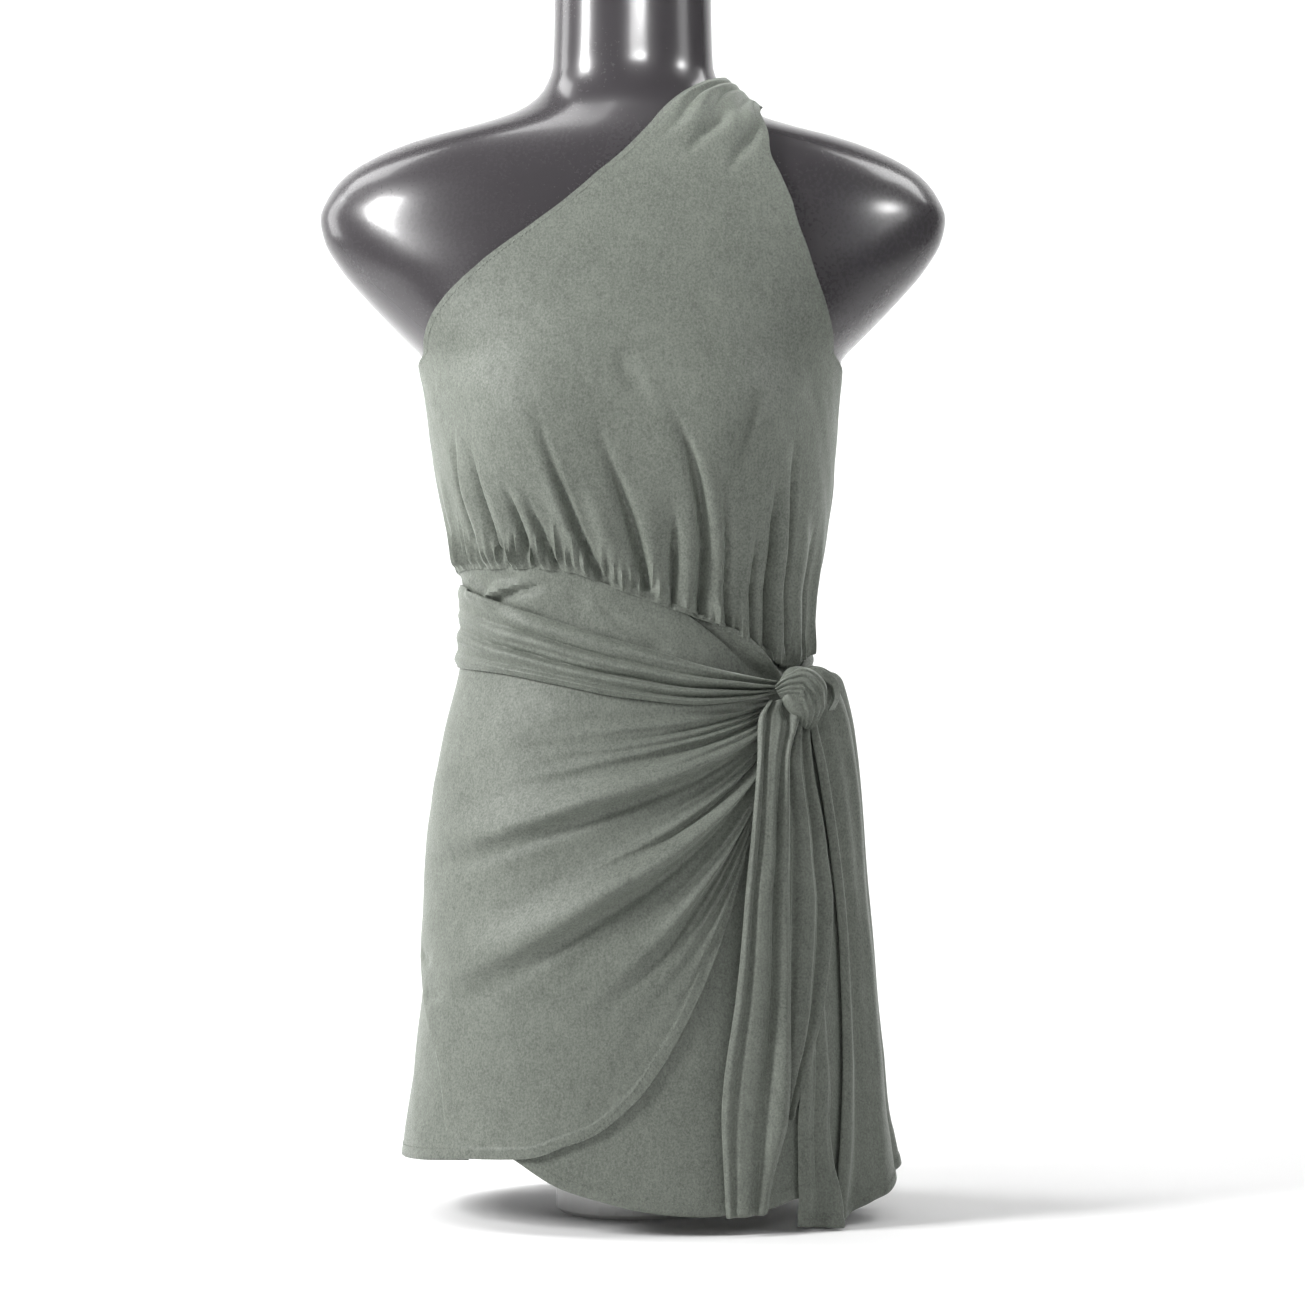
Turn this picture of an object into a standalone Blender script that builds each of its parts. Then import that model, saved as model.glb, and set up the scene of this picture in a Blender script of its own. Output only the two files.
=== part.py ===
"""One-shoulder wrap dress of jersey on a limbless dress form.

Metres, +Z up, front towards -Y, the wearer's left towards +X. The origin is the
centre of the foot's underside. Every cloth piece is a thin wall laid over the form:
a point of it is given by an angle round the body (0 in front, 90 on the wearer's
left), a height, and a lift off the form's surface.
"""
import math

import bpy
import numpy as np

# Cloth: wall thickness, pitch from one layer to the next, least clearance, seam gap
CLOTH = 0.0014
LAYER = 0.0032
REST = 0.0009
UPPER_REST = 0.0012
UPPER_REST_FULL_AT = 0.33
UNDERARM_LIFT = 0.0018
UNDERARM_Z = 0.588
UNDERARM_SPREAD = 0.024
SEAM_GAP = 0.0006
SEAM_ANGLE = 0.2
SHARP_EDGE = 50

# The form's rings: z, half width, front depth, back depth, squareness
FORM_SECTIONS = (
    (0.000, 0.1180, 0.0970, 0.1030, 2.15),
    (0.058, 0.1210, 0.0990, 0.1050, 2.15),
    (0.108, 0.1270, 0.1050, 0.1120, 2.15),
    (0.176, 0.1295, 0.1075, 0.1150, 2.15),
    (0.244, 0.1275, 0.1050, 0.1080, 2.15),
    (0.322, 0.1200, 0.0965, 0.0920, 2.15),
    (0.370, 0.1110, 0.0890, 0.0820, 2.15),
    (0.414, 0.1090, 0.0880, 0.0800, 2.15),
    (0.448, 0.1150, 0.0940, 0.0830, 2.20),
    (0.482, 0.1220, 0.1040, 0.0880, 2.25),
    (0.516, 0.1290, 0.1110, 0.0930, 2.30),
    (0.545, 0.1340, 0.1125, 0.0970, 2.30),
    (0.577, 0.1420, 0.1090, 0.0985, 2.25),
    (0.591, 0.1550, 0.1065, 0.0985, 2.20),
    (0.618, 0.1810, 0.1000, 0.0975, 2.10),
    (0.640, 0.1995, 0.0950, 0.0960, 2.05),
    (0.659, 0.2100, 0.0900, 0.0940, 2.00),
    (0.673, 0.2125, 0.0860, 0.0920, 2.00),
    (0.690, 0.2055, 0.0810, 0.0885, 2.00),
    (0.703, 0.1940, 0.0760, 0.0845, 2.00),
    (0.715, 0.1740, 0.0710, 0.0805, 2.00),
    (0.726, 0.1460, 0.0655, 0.0770, 2.00),
    (0.735, 0.1110, 0.0605, 0.0735, 2.00),
    (0.743, 0.0850, 0.0560, 0.0705, 2.00),
    (0.751, 0.0700, 0.0515, 0.0675, 2.00),
    (0.762, 0.0600, 0.0475, 0.0645, 2.00),
    (0.778, 0.0545, 0.0450, 0.0625, 2.00),
    (0.832, 0.0530, 0.0450, 0.0640, 2.00),
)
BUST_ANGLE = 33.0
BUST_HEIGHT = 0.528
BUST_RISE = 0.011
BUST_ANGLE_SPREAD = 21.0
BUST_HEIGHT_SPREAD = 0.046

# Heights of the form's rings from the torso's lower end to the neck
TORSO_BOTTOM = 0.058
NECK_TOP = 0.832
NECK_ROUNDING = 0.006
FORM_RING_STEPS = ((0.058, 0.400, 8), (0.400, 0.560, 8), (0.560, 0.780, 16), (0.780, 0.832, 2))
FORM_SEGMENTS = 32
TORSO_EDGE = 0.008
# The torso's ends, rounded over: how far each ring is drawn in, and its share of the rounding
END_RINGS = ((0.30, 1.0), (0.05, 0.7))
FOOT_GAP = 0.0003
FOOT_RADIUS = 0.052
FOOT_EDGE = 0.003
FOOT_SEGMENTS = 28

# How far the skirt's first layer stands off the form: z, wearer's right, front, left, back
EASE = (
    (0.000, 0.0390, 0.0240, 0.0460, 0.0250),
    (0.058, 0.0325, 0.0175, 0.0365, 0.0190),
    (0.108, 0.0190, 0.0085, 0.0260, 0.0100),
    (0.176, 0.0105, 0.0026, 0.0172, 0.0036),
    (0.244, 0.0088, 0.0010, 0.0122, 0.0014),
    (0.322, 0.0047, 0.0010, 0.0086, 0.0012),
    (0.370, 0.0020, 0.0010, 0.0044, 0.0010),
    (0.414, 0.0010, 0.0010, 0.0010, 0.0010),
    (0.832, 0.0010, 0.0010, 0.0010, 0.0010),
)
# How far the bodice blouses out above the waist seam: height over the seam, then as above
BLOUSE = (
    (0.000, 0.0006, 0.0006, 0.0030, 0.0006),
    (0.020, 0.0030, 0.0040, 0.0100, 0.0030),
    (0.045, 0.0050, 0.0050, 0.0130, 0.0045),
    (0.085, 0.0046, 0.0040, 0.0105, 0.0040),
    (0.130, 0.0022, 0.0012, 0.0050, 0.0020),
    (0.180, 0.0000, 0.0000, 0.0000, 0.0000),
)

# The waist seam's height round the body: angle, z
WAIST_SEAM = (
    (-95, 0.4335), (-64, 0.4370), (-32, 0.4365), (-18, 0.4335), (-7, 0.4245), (2, 0.4165),
    (12, 0.4085), (22, 0.4015), (35, 0.3915), (46, 0.3815), (55, 0.3755), (65, 0.3785),
    (90, 0.3920), (180, 0.4120), (275, 0.4335),
)

# The bodice's edges from the waist (share 0) to the shoulder seam (share 1):
# share, then angle and z of the neckline side, then angle and z of the armhole side
BODICE_FRONT = (
    (0.000, -90.0, 0.4335, 90.0, 0.3920),
    (0.200, -90.0, 0.4800, 90.0, 0.4550),
    (0.380, -90.0, 0.5250, 90.0, 0.5150),
    (0.500, -88.0, 0.5640, 88.0, 0.5600),
    (0.560, -66.0, 0.5830, 67.0, 0.5810),
    (0.630, -41.0, 0.6160, 46.0, 0.6110),
    (0.710, -26.0, 0.6420, 35.0, 0.6400),
    (0.790, -14.0, 0.6700, 29.0, 0.6720),
    (0.870, -3.5, 0.7030, 29.0, 0.7030),
    (0.925, 8.0, 0.7330, 36.0, 0.7250),
    (0.960, 26.0, 0.7490, 47.0, 0.7340),
    (0.982, 55.0, 0.7615, 68.0, 0.7410),
    (1.000, 89.8, 0.7670, 89.8, 0.7430),
)
BODICE_BACK = (
    (0.000, 270.0, 0.4335, 90.0, 0.3920),
    (0.300, 270.0, 0.5000, 90.0, 0.4900),
    (0.500, 268.0, 0.5640, 92.0, 0.5600),
    (0.600, 228.0, 0.6100, 128.0, 0.6060),
    (0.700, 206.0, 0.6500, 145.0, 0.6450),
    (0.800, 187.0, 0.6900, 150.0, 0.6850),
    (0.880, 171.0, 0.7220, 147.0, 0.7120),
    (0.940, 150.0, 0.7430, 134.0, 0.7300),
    (0.975, 120.0, 0.7590, 112.0, 0.7400),
    (1.000, 90.2, 0.7670, 90.2, 0.7430),
)
SEAM_SHAPE_FADES_AT = 0.5
# Rows of each bodice grid: first share, last share, how many
FRONT_STEPS = ((0, 0.5, 8), (0.5, 0.88, 7), (0.88, 1, 8))
FRONT_COLUMNS = 49
BACK_STEPS = ((0, 0.36, 4), (0.36, 0.88, 10), (0.88, 1, 6))
BACK_COLUMNS = 34

# Gathers in the front of the bodice, one crest a row:
# angle at the seam, lean over its reach, reach, rise, half width in degrees
FRONT_GATHERS = (
    (-84, -1, 0.050, 0.0024, 2.6),
    (-76, -2, 0.060, 0.0030, 2.6),
    (-68, -4, 0.082, 0.0038, 2.7),
    (-60, -8, 0.104, 0.0042, 2.8),
    (-51, -10, 0.088, 0.0040, 2.7),
    (-43, -11, 0.066, 0.0040, 2.8),
    (-35, -12, 0.092, 0.0044, 2.8),
    (-27, -13, 0.072, 0.0040, 2.6),
    (-20, -15, 0.100, 0.0044, 2.6),
    (-13, -17, 0.136, 0.0054, 2.8),
    (-6, -16, 0.084, 0.0040, 2.4),
    (2, -12, 0.064, 0.0038, 2.5),
    (9, -9, 0.110, 0.0044, 2.5),
    (16, -9, 0.078, 0.0040, 2.3),
    (22, -13, 0.150, 0.0054, 2.6),
    (29, -11, 0.118, 0.0042, 2.4),
    (36, -6, 0.070, 0.0042, 2.4),
    (43, -3, 0.112, 0.0048, 2.5),
    (50, -1, 0.138, 0.0054, 2.5),
    (58, 1, 0.122, 0.0050, 2.5),
    (66, 3, 0.084, 0.0042, 2.5),
    (76, 3, 0.066, 0.0034, 2.7),
)
GATHER_SPREAD = 0.5
GATHER_AT_SEAM = 0.55
GATHER_FULL_AT = 0.012
BACK_GATHERS = 11
BACK_GATHERS_START = 98
BACK_GATHERS_SPAN = 164
# How uneven they are: turns of a sine from one gather to the next, and how far it goes
BACK_GATHER_SWAY = (2.4, 1.4)
BACK_GATHER_LEAN = (1.7, 3.0)
BACK_GATHER_REACH_VARIES = (1.3, 0.35)
BACK_GATHER_RISE_VARIES = 0.2
BACK_GATHER_REACH = 0.070
BACK_GATHER_RISE = 0.0038
BACK_GATHER_WIDTH = 5.0

# Gathers that run down from the shoulder seam: place across the strap, share where
# they end, rise, half width as a share of the strap
SHOULDER_GATHERS = (
    (0.16, 0.80, 0.0030, 0.10),
    (0.42, 0.86, 0.0034, 0.10),
    (0.68, 0.82, 0.0034, 0.10),
    (0.90, 0.88, 0.0026, 0.08),
)
STRAP_LIFT = 0.0064
STRAP_EDGE_SHARE = 0.50
STRAP_STARTS = 0.82

# The wearer's right side seam of the skirt: z, angle
RIGHT_SIDE_SEAM = (
    (0.000, -40), (0.048, -48.5), (0.080, -54), (0.112, -60), (0.144, -71.5), (0.164, -80),
    (0.195, -88), (0.440, -90),
)
BACK_HEM = ((90, 0.0340), (135, 0.0360), (180, 0.0380), (240, 0.0390), (270, 0.0405), (312, 0.0475))
SEAM_LAP = 2.0
BACK_ENDS_AT = 272
# The seam's angle depends on the height and the height on the angle, so they are settled in turn
SETTLE_STEPS = 4
SKIRT_GRID = (10, 26)

# The under panel: its free edge (share down the panel, angle) and its hem (angle, z)
UNDER_EDGE = ((0.0, -60), (0.45, -54), (0.75, -44), (0.90, -37), (1.0, -32))
UNDER_HEM = (
    (-32, 0.0500), (-18.5, 0.0320), (-7.5, 0.0240), (4, 0.0170), (17, 0.0140), (37, 0.0180),
    (45, 0.0230), (72, 0.0270), (90, 0.0340),
)

# Rays of the wrap panel, from its outer edge to the tie:
# outer angle, outer z, angle and z at the tie, sag in the middle
WRAP_RAYS = (
    (-88.0, 0.4310, 46.0, 0.3560, -0.0380),
    (-88.0, 0.3850, 46.0, 0.3510, -0.0130),
    (-88.0, 0.3220, 46.0, 0.3440, 0.0070),
    (-88.0, 0.2840, 46.0, 0.3380, 0.0095),
    (-88.0, 0.2440, 46.0, 0.3310, 0.0210),
    (-88.0, 0.1930, 45.0, 0.3220, 0.0330),
    (-76.0, 0.1540, 44.0, 0.3130, 0.0350),
    (-60.5, 0.1100, 42.5, 0.3060, 0.0430),
    (-48.5, 0.0490, 41.0, 0.3000, 0.0380),
    (-28.0, 0.0510, 39.5, 0.2940, 0.0380),
    (-13.5, 0.0630, 38.0, 0.2900, 0.0450),
)
# Folds of the wrap panel: ray number, rise, half width in rays, share where it is
# highest, share where it starts
WRAP_FOLDS = (
    (2.05, 0.0030, 0.10, 0.75, 0.05),
    (2.45, 0.0036, 0.12, 0.70, 0.10),
    (2.95, 0.0040, 0.14, 0.75, 0.20),
    (3.40, 0.0034, 0.13, 0.80, 0.30),
    (3.85, 0.0064, 0.16, 0.65, 0.02),
    (4.40, 0.0044, 0.16, 0.80, 0.35),
    (4.95, 0.0050, 0.20, 0.80, 0.30),
    (5.75, 0.0076, 0.22, 0.60, 0.05),
    (6.45, 0.0050, 0.22, 0.80, 0.30),
    (7.20, 0.0052, 0.26, 0.70, 0.25),
    (8.20, 0.0040, 0.26, 0.80, 0.40),
    (9.10, 0.0030, 0.24, 0.80, 0.45),
)
FOLD_KEPT_AT_TIE = 0.38
WRAP_BELOW_WAIST = 0.0008
WRAP_RAY_DROP = 0.004
# Rays of the wrap's grid: first ray, last ray, how many
WRAP_RAY_STEPS = ((0, 2, 3), (2, 7, 23), (7, 10, 9))
WRAP_ALONG = 16

# The tie band: angle along it, upper z, lower z, extra lift
SASH = (
    (-292, 0.3640, 0.3490, 0.0010),
    (-270, 0.3800, 0.3480, 0.0000),
    (-250, 0.3890, 0.3500, 0.0000),
    (-180, 0.4050, 0.3570, 0.0000),
    (-90, 0.4260, 0.3680, 0.0000),
    (-64, 0.4210, 0.3665, 0.0000),
    (-47, 0.4120, 0.3640, 0.0000),
    (-22, 0.3980, 0.3560, 0.0000),
    (-3, 0.3860, 0.3480, 0.0006),
    (20, 0.3705, 0.3425, 0.0024),
    (36, 0.3615, 0.3450, 0.0054),
    (46, 0.3560, 0.3480, 0.0086),
)
# Lengthwise folds of the band: place across it, rise, half width
SASH_FOLDS = ((0.12, 0.0024, 0.07), (0.36, 0.0027, 0.08), (0.62, 0.0027, 0.08), (0.88, 0.0024, 0.07))
SASH_GRID = (37, 7)

# Hanging ends of the tie: angle, z and lift of one edge, then of the other
TAIL_FRONT = (
    (41.5, 0.3430, 0.0135, 50.0, 0.3430, 0.0135),
    (37.5, 0.3320, 0.0120, 50.8, 0.3320, 0.0125),
    (35.5, 0.3060, 0.0100, 46.2, 0.3060, 0.0110),
    (32.5, 0.2560, 0.0092, 45.0, 0.2560, 0.0098),
    (30.0, 0.2160, 0.0090, 43.6, 0.2160, 0.0094),
    (26.5, 0.1540, 0.0086, 42.4, 0.1540, 0.0086),
    (22.5, 0.0790, 0.0080, 39.6, 0.0780, 0.0080),
    (23.2, 0.0140, 0.0076, 34.6, 0.0160, 0.0076),
)
TAIL_MIDDLE = (
    (51.6, 0.3420, 0.0152, 59.0, 0.3420, 0.0152),
    (52.0, 0.3320, 0.0120, 58.0, 0.3310, 0.0110),
    (47.6, 0.3060, 0.0110, 58.4, 0.2960, 0.0100),
    (46.2, 0.2560, 0.0100, 62.0, 0.2500, 0.0090),
    (45.2, 0.2160, 0.0096, 63.0, 0.2180, 0.0090),
    (44.2, 0.1540, 0.0092, 55.6, 0.1520, 0.0092),
    (42.6, 0.1060, 0.0092, 47.0, 0.1060, 0.0096),
    (40.9, 0.0790, 0.0092, 42.2, 0.0790, 0.0096),
)
TAIL_LOWER = (
    (51.0, 0.1500, 0.0020, 58.0, 0.1560, 0.0020),
    (49.4, 0.1200, 0.0026, 58.2, 0.1230, 0.0026),
    (47.0, 0.0880, 0.0034, 58.0, 0.0870, 0.0034),
    (45.4, 0.0400, 0.0034, 56.4, 0.0400, 0.0034),
    (44.0, 0.0060, 0.0034, 55.0, 0.0040, 0.0034),
)
TAIL_SIDE = (
    (60.6, 0.3460, 0.0136, 60.6, 0.3600, 0.0136),
    (75.0, 0.3470, 0.0165, 77.0, 0.3660, 0.0185),
    (80.5, 0.3350, 0.0120, 88.0, 0.3560, 0.0205),
    (78.5, 0.3100, 0.0072, 94.0, 0.3270, 0.0190),
    (76.0, 0.2620, 0.0046, 97.0, 0.2750, 0.0175),
    (74.5, 0.2000, 0.0042, 98.0, 0.2050, 0.0170),
    (72.0, 0.1480, 0.0042, 98.0, 0.1500, 0.0165),
    (66.0, 0.0700, 0.0046, 97.0, 0.0880, 0.0175),
    (56.8, 0.0040, 0.0056, 94.0, 0.0380, 0.0195),
)
# Lengthwise folds of each end: place across, rise, half width
TAIL_FRONT_FOLDS = ((0.12, 0.0034, 0.09), (0.42, 0.0040, 0.11), (0.74, 0.0034, 0.10))
TAIL_MIDDLE_FOLDS = ((0.10, 0.0030, 0.09), (0.36, 0.0036, 0.10), (0.64, 0.0036, 0.10), (0.90, 0.0030, 0.08))
TAIL_LOWER_FOLDS = ((0.30, 0.0020, 0.14), (0.78, 0.0020, 0.12))
TAIL_SIDE_FOLDS = ((0.16, 0.0040, 0.10), (0.48, 0.0034, 0.12), (0.82, 0.0040, 0.12))
# Each end: name, its table, its folds, and its grid's rows and columns
TAILS = (
    ("tail_front", TAIL_FRONT, TAIL_FRONT_FOLDS, (12, 8)),
    ("tail_middle", TAIL_MIDDLE, TAIL_MIDDLE_FOLDS, (12, 8)),
    ("tail_lower", TAIL_LOWER, TAIL_LOWER_FOLDS, (6, 5)),
    ("tail_side", TAIL_SIDE, TAIL_SIDE_FOLDS, (14, 8)),
)

# The knot: its middle, half sizes across and up, lift of its back, bulge of its front
KNOT_ANGLE = 54.2
KNOT_HEIGHT = 0.3480
KNOT_HALF_ANGLE = 9.6
KNOT_HALF_HEIGHT = 0.0200
KNOT_LIFT = 0.0194
KNOT_BULGE = 0.0140
KNOT_PLEATS = 5
KNOT_PLEAT_RISE = 0.0014
KNOT_PLEAT_SLANT = 0.45
KNOT_RIM = 0.0016
KNOT_SQUARENESS = 0.8
KNOT_DOME_POWER = 2.4
KNOT_PLEAT_FADE_POWER = 3
KNOT_RINGS, KNOT_SPOKES = 6, 18

MATERIALS = {
    "jersey": ((0.195, 0.225, 0.190), 0.62, 0.0),
    "form_plastic": ((0.085, 0.080, 0.085), 0.16, 0.0),
    "foot_plastic": ((0.800, 0.800, 0.790), 0.40, 0.0),
}


def smooth(rows, at):
    """Read a table's columns at the places given, with monotone cubic curves."""
    rows = np.asarray(rows, float)
    steps = np.diff(rows[:, 0])[:, None]
    slopes = np.diff(rows[:, 1:], axis=0) / steps
    tangents = np.zeros_like(rows[:, 1:])
    tangents[0] = slopes[0]
    tangents[-1] = slopes[-1]
    before = 2 * steps[1:] + steps[:-1]
    after = steps[1:] + 2 * steps[:-1]
    same_way = slopes[:-1] * slopes[1:] > 0
    lower = np.where(same_way, slopes[:-1], 1.0)
    upper = np.where(same_way, slopes[1:], 1.0)
    tangents[1:-1] = np.where(same_way, (before + after) / (before / lower + after / upper), 0.0)
    at = np.clip(np.asarray(at, float), rows[0, 0], rows[-1, 0])
    row = np.clip(np.searchsorted(rows[:, 0], at, side="right") - 1, 0, len(rows) - 2)
    share = ((at - rows[row, 0]) / steps[row, 0])[..., None]
    span = steps[row]
    start, end = rows[row, 1:], rows[row + 1, 1:]
    return (
        start * (1 + 2 * share) * (1 - share) ** 2
        + end * share ** 2 * (3 - 2 * share)
        + tangents[row] * span * share * (1 - share) ** 2
        - tangents[row + 1] * span * share ** 2 * (1 - share)
    )


def bump(distance):
    """A soft ridge: 1 at distance 0, near 0 from distance 2 on."""
    return np.exp(-np.asarray(distance, float) ** 2)


def ease_in(value):
    """A smooth step from 0 to 1."""
    value = np.clip(value, 0.0, 1.0)
    return value * value * (3 - 2 * value)


def form_point(angle, z):
    """Points on the form's surface."""
    half, front, back, square = np.moveaxis(smooth(FORM_SECTIONS, z), -1, 0)
    turn = np.radians(angle)
    across, ahead = np.sin(turn), np.cos(turn)
    power = 2 / square
    turned = np.mod(np.asarray(angle, float) + 180, 360) - 180
    bust = BUST_RISE * bump((z - BUST_HEIGHT) / BUST_HEIGHT_SPREAD) * (
        bump((turned - BUST_ANGLE) / BUST_ANGLE_SPREAD)
        + bump((turned + BUST_ANGLE) / BUST_ANGLE_SPREAD)
    )
    depth = np.where(ahead > 0, front + bust, back)
    x = half * np.sign(across) * np.abs(across) ** power
    y = -depth * np.sign(ahead) * np.abs(ahead) ** power
    return np.stack(np.broadcast_arrays(x, y, z), axis=-1)


def over_form(angle, z, lift):
    """Points that stand off the form by a lift along its surface normal."""
    turn_step, height_step = 0.6, 0.0012
    round_way = form_point(angle + turn_step, z) - form_point(angle - turn_step, z)
    up_way = form_point(angle, z + height_step) - form_point(angle, z - height_step)
    normal = np.cross(round_way, up_way)
    normal /= np.linalg.norm(normal, axis=-1, keepdims=True)
    return form_point(angle, z) + normal * np.asarray(lift)[..., None]


def round_body(table, angle, at):
    """Read a table whose columns are the wearer's right, front, left and back."""
    turn = np.radians(angle)
    across, ahead = np.sin(turn), np.cos(turn)
    right, front, left, back = np.moveaxis(smooth(table, at), -1, 0)
    return (
        right * np.clip(-across, 0, 1) ** 2 + left * np.clip(across, 0, 1) ** 2
        + front * np.clip(ahead, 0, 1) ** 2 + back * np.clip(-ahead, 0, 1) ** 2
    )


def ease(angle, z):
    """How far the skirt's first layer stands off the form."""
    return round_body(EASE, angle, z)


def waist(angle):
    """Height of the waist seam."""
    return smooth(WAIST_SEAM, angle)[..., 0]


def new_object(name, points, faces, material):
    """Make a mesh object, with its faces turned outward and shaded smooth."""
    mesh = bpy.data.meshes.new(name)
    mesh.from_pydata([tuple(p) for p in points], [], faces)
    mesh.validate()
    mesh.materials.append(material)
    mesh.shade_smooth()
    mesh.set_sharp_from_angle(angle=math.radians(SHARP_EDGE))
    thing = bpy.data.objects.new(name, mesh)
    bpy.context.scene.collection.objects.link(thing)
    return thing


def wall(name, angle, z, lift, material):
    """Make a cloth wall from grids of angle, height and lift of its inner side."""
    inner = over_form(angle, z, lift)
    outer = over_form(angle, z, lift + CLOTH)
    rows, columns = angle.shape
    count = rows * columns
    points = np.concatenate([inner.reshape(-1, 3), outer.reshape(-1, 3)])
    side = np.cross(outer[0, 1] - outer[0, 0], outer[1, 0] - outer[0, 0])
    turned = float(np.dot(side, outer[0, 0] - inner[0, 0])) < 0

    def index(row, column):
        return row * columns + column

    faces = []
    for row in range(rows - 1):
        for column in range(columns - 1):
            low, high = index(row, column), index(row + 1, column)
            quad = (low, low + 1, high + 1, high)
            faces.append(tuple(count + k for k in quad))
            faces.append(quad[::-1])
    rim = [index(0, c) for c in range(columns - 1)]
    rim += [index(r, columns - 1) for r in range(rows - 1)]
    rim += [index(rows - 1, c) for c in range(columns - 1, 0, -1)]
    rim += [index(r, 0) for r in range(rows - 1, 0, -1)]
    for here, there in zip(rim, rim[1:] + rim[:1]):
        faces.append((here, there, count + there, count + here))
    if turned:
        faces = [face[::-1] for face in faces]
    return new_object(name, points, faces, material)


def stepped(steps):
    """Places from a table of first, last and how many, each row joined to the next."""
    places = []
    for first, last, count in steps[:-1]:
        places += list(np.linspace(first, last, count, endpoint=False))
    first, last, count = steps[-1]
    return np.array(places + list(np.linspace(first, last, count)))


def waist_gathers(angle, z, gathers):
    """Rise of the gathers above the waist seam."""
    height = z - waist(angle)
    rise = np.zeros_like(angle)
    for seam_angle, lean, reach, crest, width in gathers:
        share = np.clip(height / reach, 0, 1)
        middle = seam_angle + lean * share
        full = GATHER_AT_SEAM + (1 - GATHER_AT_SEAM) * ease_in(height / GATHER_FULL_AT)
        spread = width * (1 + GATHER_SPREAD * share)
        rise += crest * (1 - ease_in(share)) * full * bump((angle - middle) / spread)
    return rise


def shoulder_gathers(across, share):
    """Rise of the gathers at the shoulder seam, and the strap's own lift."""
    along = ease_in((share - STRAP_STARTS) / (1 - STRAP_STARTS))
    arched = STRAP_EDGE_SHARE + (1 - STRAP_EDGE_SHARE) * np.sin(np.pi * across)
    rise = STRAP_LIFT * along * arched
    for place, ends, crest, width in SHOULDER_GATHERS:
        rise += crest * ease_in((share - ends) / (1 - ends)) * bump((across - place) / width)
    return rise


def back_gathers():
    """Gathers across the back, uneven in place, reach and rise."""
    rows = []
    pitch = BACK_GATHERS_SPAN / (BACK_GATHERS - 1)
    for number in range(BACK_GATHERS):
        sway = math.sin(BACK_GATHER_SWAY[0] * number)
        longer = math.sin(BACK_GATHER_REACH_VARIES[0] * number + 1)
        rows.append((
            BACK_GATHERS_START + number * pitch + BACK_GATHER_SWAY[1] * sway,
            BACK_GATHER_LEAN[1] * math.cos(BACK_GATHER_LEAN[0] * number),
            BACK_GATHER_REACH * (1 + BACK_GATHER_REACH_VARIES[1] * longer),
            BACK_GATHER_RISE * (1 + BACK_GATHER_RISE_VARIES * sway),
            BACK_GATHER_WIDTH,
        ))
    return rows


def bodice(name, edges, gathers, columns, shares, material):
    """A bodice panel, from the waist seam to the shoulder seam."""
    share, across = np.meshgrid(shares, np.linspace(0, 1, columns), indexing="ij")
    neck_angle, neck_z, arm_angle, arm_z = np.moveaxis(smooth(edges, share), -1, 0)
    inset = SEAM_ANGLE if arm_angle[0, 0] > neck_angle[0, 0] else -SEAM_ANGLE
    low = share < SEAM_SHAPE_FADES_AT
    neck_angle = neck_angle + np.where(low, inset, 0)
    arm_angle = arm_angle - np.where(low, inset, 0)
    angle = neck_angle + (arm_angle - neck_angle) * across
    z = neck_z + (arm_z - neck_z) * across
    straight = edges[0][2] + (edges[0][4] - edges[0][2]) * across
    seam_shape = waist(angle) - straight + SEAM_GAP
    z = z + seam_shape * (1 - ease_in(share / SEAM_SHAPE_FADES_AT))
    under_arm = bump((z - UNDERARM_Z) / UNDERARM_SPREAD) * np.sin(np.radians(angle)) ** 2
    lift = REST + UPPER_REST * ease_in(share / UPPER_REST_FULL_AT) + UNDERARM_LIFT * under_arm
    lift = lift + round_body(BLOUSE, angle, z - waist(angle))
    lift = lift + waist_gathers(angle, z, gathers) + shoulder_gathers(across, share)
    return wall(name, angle, z, lift, material)


def panel_grid(rows, columns):
    """Shares down and across a panel."""
    return np.meshgrid(np.linspace(0, 1, rows), np.linspace(0, 1, columns), indexing="ij")


def skirt_back(material):
    """The back panel of the skirt, from seam to seam."""
    share, across = panel_grid(*SKIRT_GRID)
    angle = np.zeros_like(share)
    z = np.zeros_like(share)
    for _ in range(SETTLE_STEPS):
        far = 360 + smooth(RIGHT_SIDE_SEAM, z[:, -1:])[..., 0] + SEAM_LAP
        near = 90 + SEAM_ANGLE
        angle = near + (far - near) * across
        top = waist(np.minimum(angle, BACK_ENDS_AT)) - SEAM_GAP
        hem = smooth(BACK_HEM, angle)[..., 0]
        z = top + (hem - top) * share
    return wall("skirt_back", angle, z, ease(angle, z), material)


def skirt_under(material):
    """The under panel of the front."""
    share, across = panel_grid(*SKIRT_GRID)
    near = smooth(UNDER_EDGE, share)[..., 0]
    angle = near + (90 - SEAM_ANGLE - near) * across
    top = waist(angle) - SEAM_GAP
    hem = smooth(UNDER_HEM, angle)[..., 0]
    z = top + (hem - top) * share
    return wall("skirt_under", angle, z, ease(angle, z), material)


def wrap_grid(rays, along):
    """Angles and heights of the wrap panel on a grid of rays and shares along them."""
    number = np.arange(len(WRAP_RAYS), dtype=float)
    table = np.column_stack([number, np.array(WRAP_RAYS)])
    ray, share = np.meshgrid(rays, along, indexing="ij")
    outer_angle, outer_z, tie_angle, tie_z, sag = np.moveaxis(smooth(table, ray), -1, 0)
    angle = outer_angle + (tie_angle - outer_angle) * share
    z = outer_z + (tie_z - outer_z) * share - 4 * sag * share * (1 - share)
    ceiling = waist(angle) - WRAP_BELOW_WAIST
    return ray, share, angle, np.minimum(z, ceiling - WRAP_RAY_DROP * ray)


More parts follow.
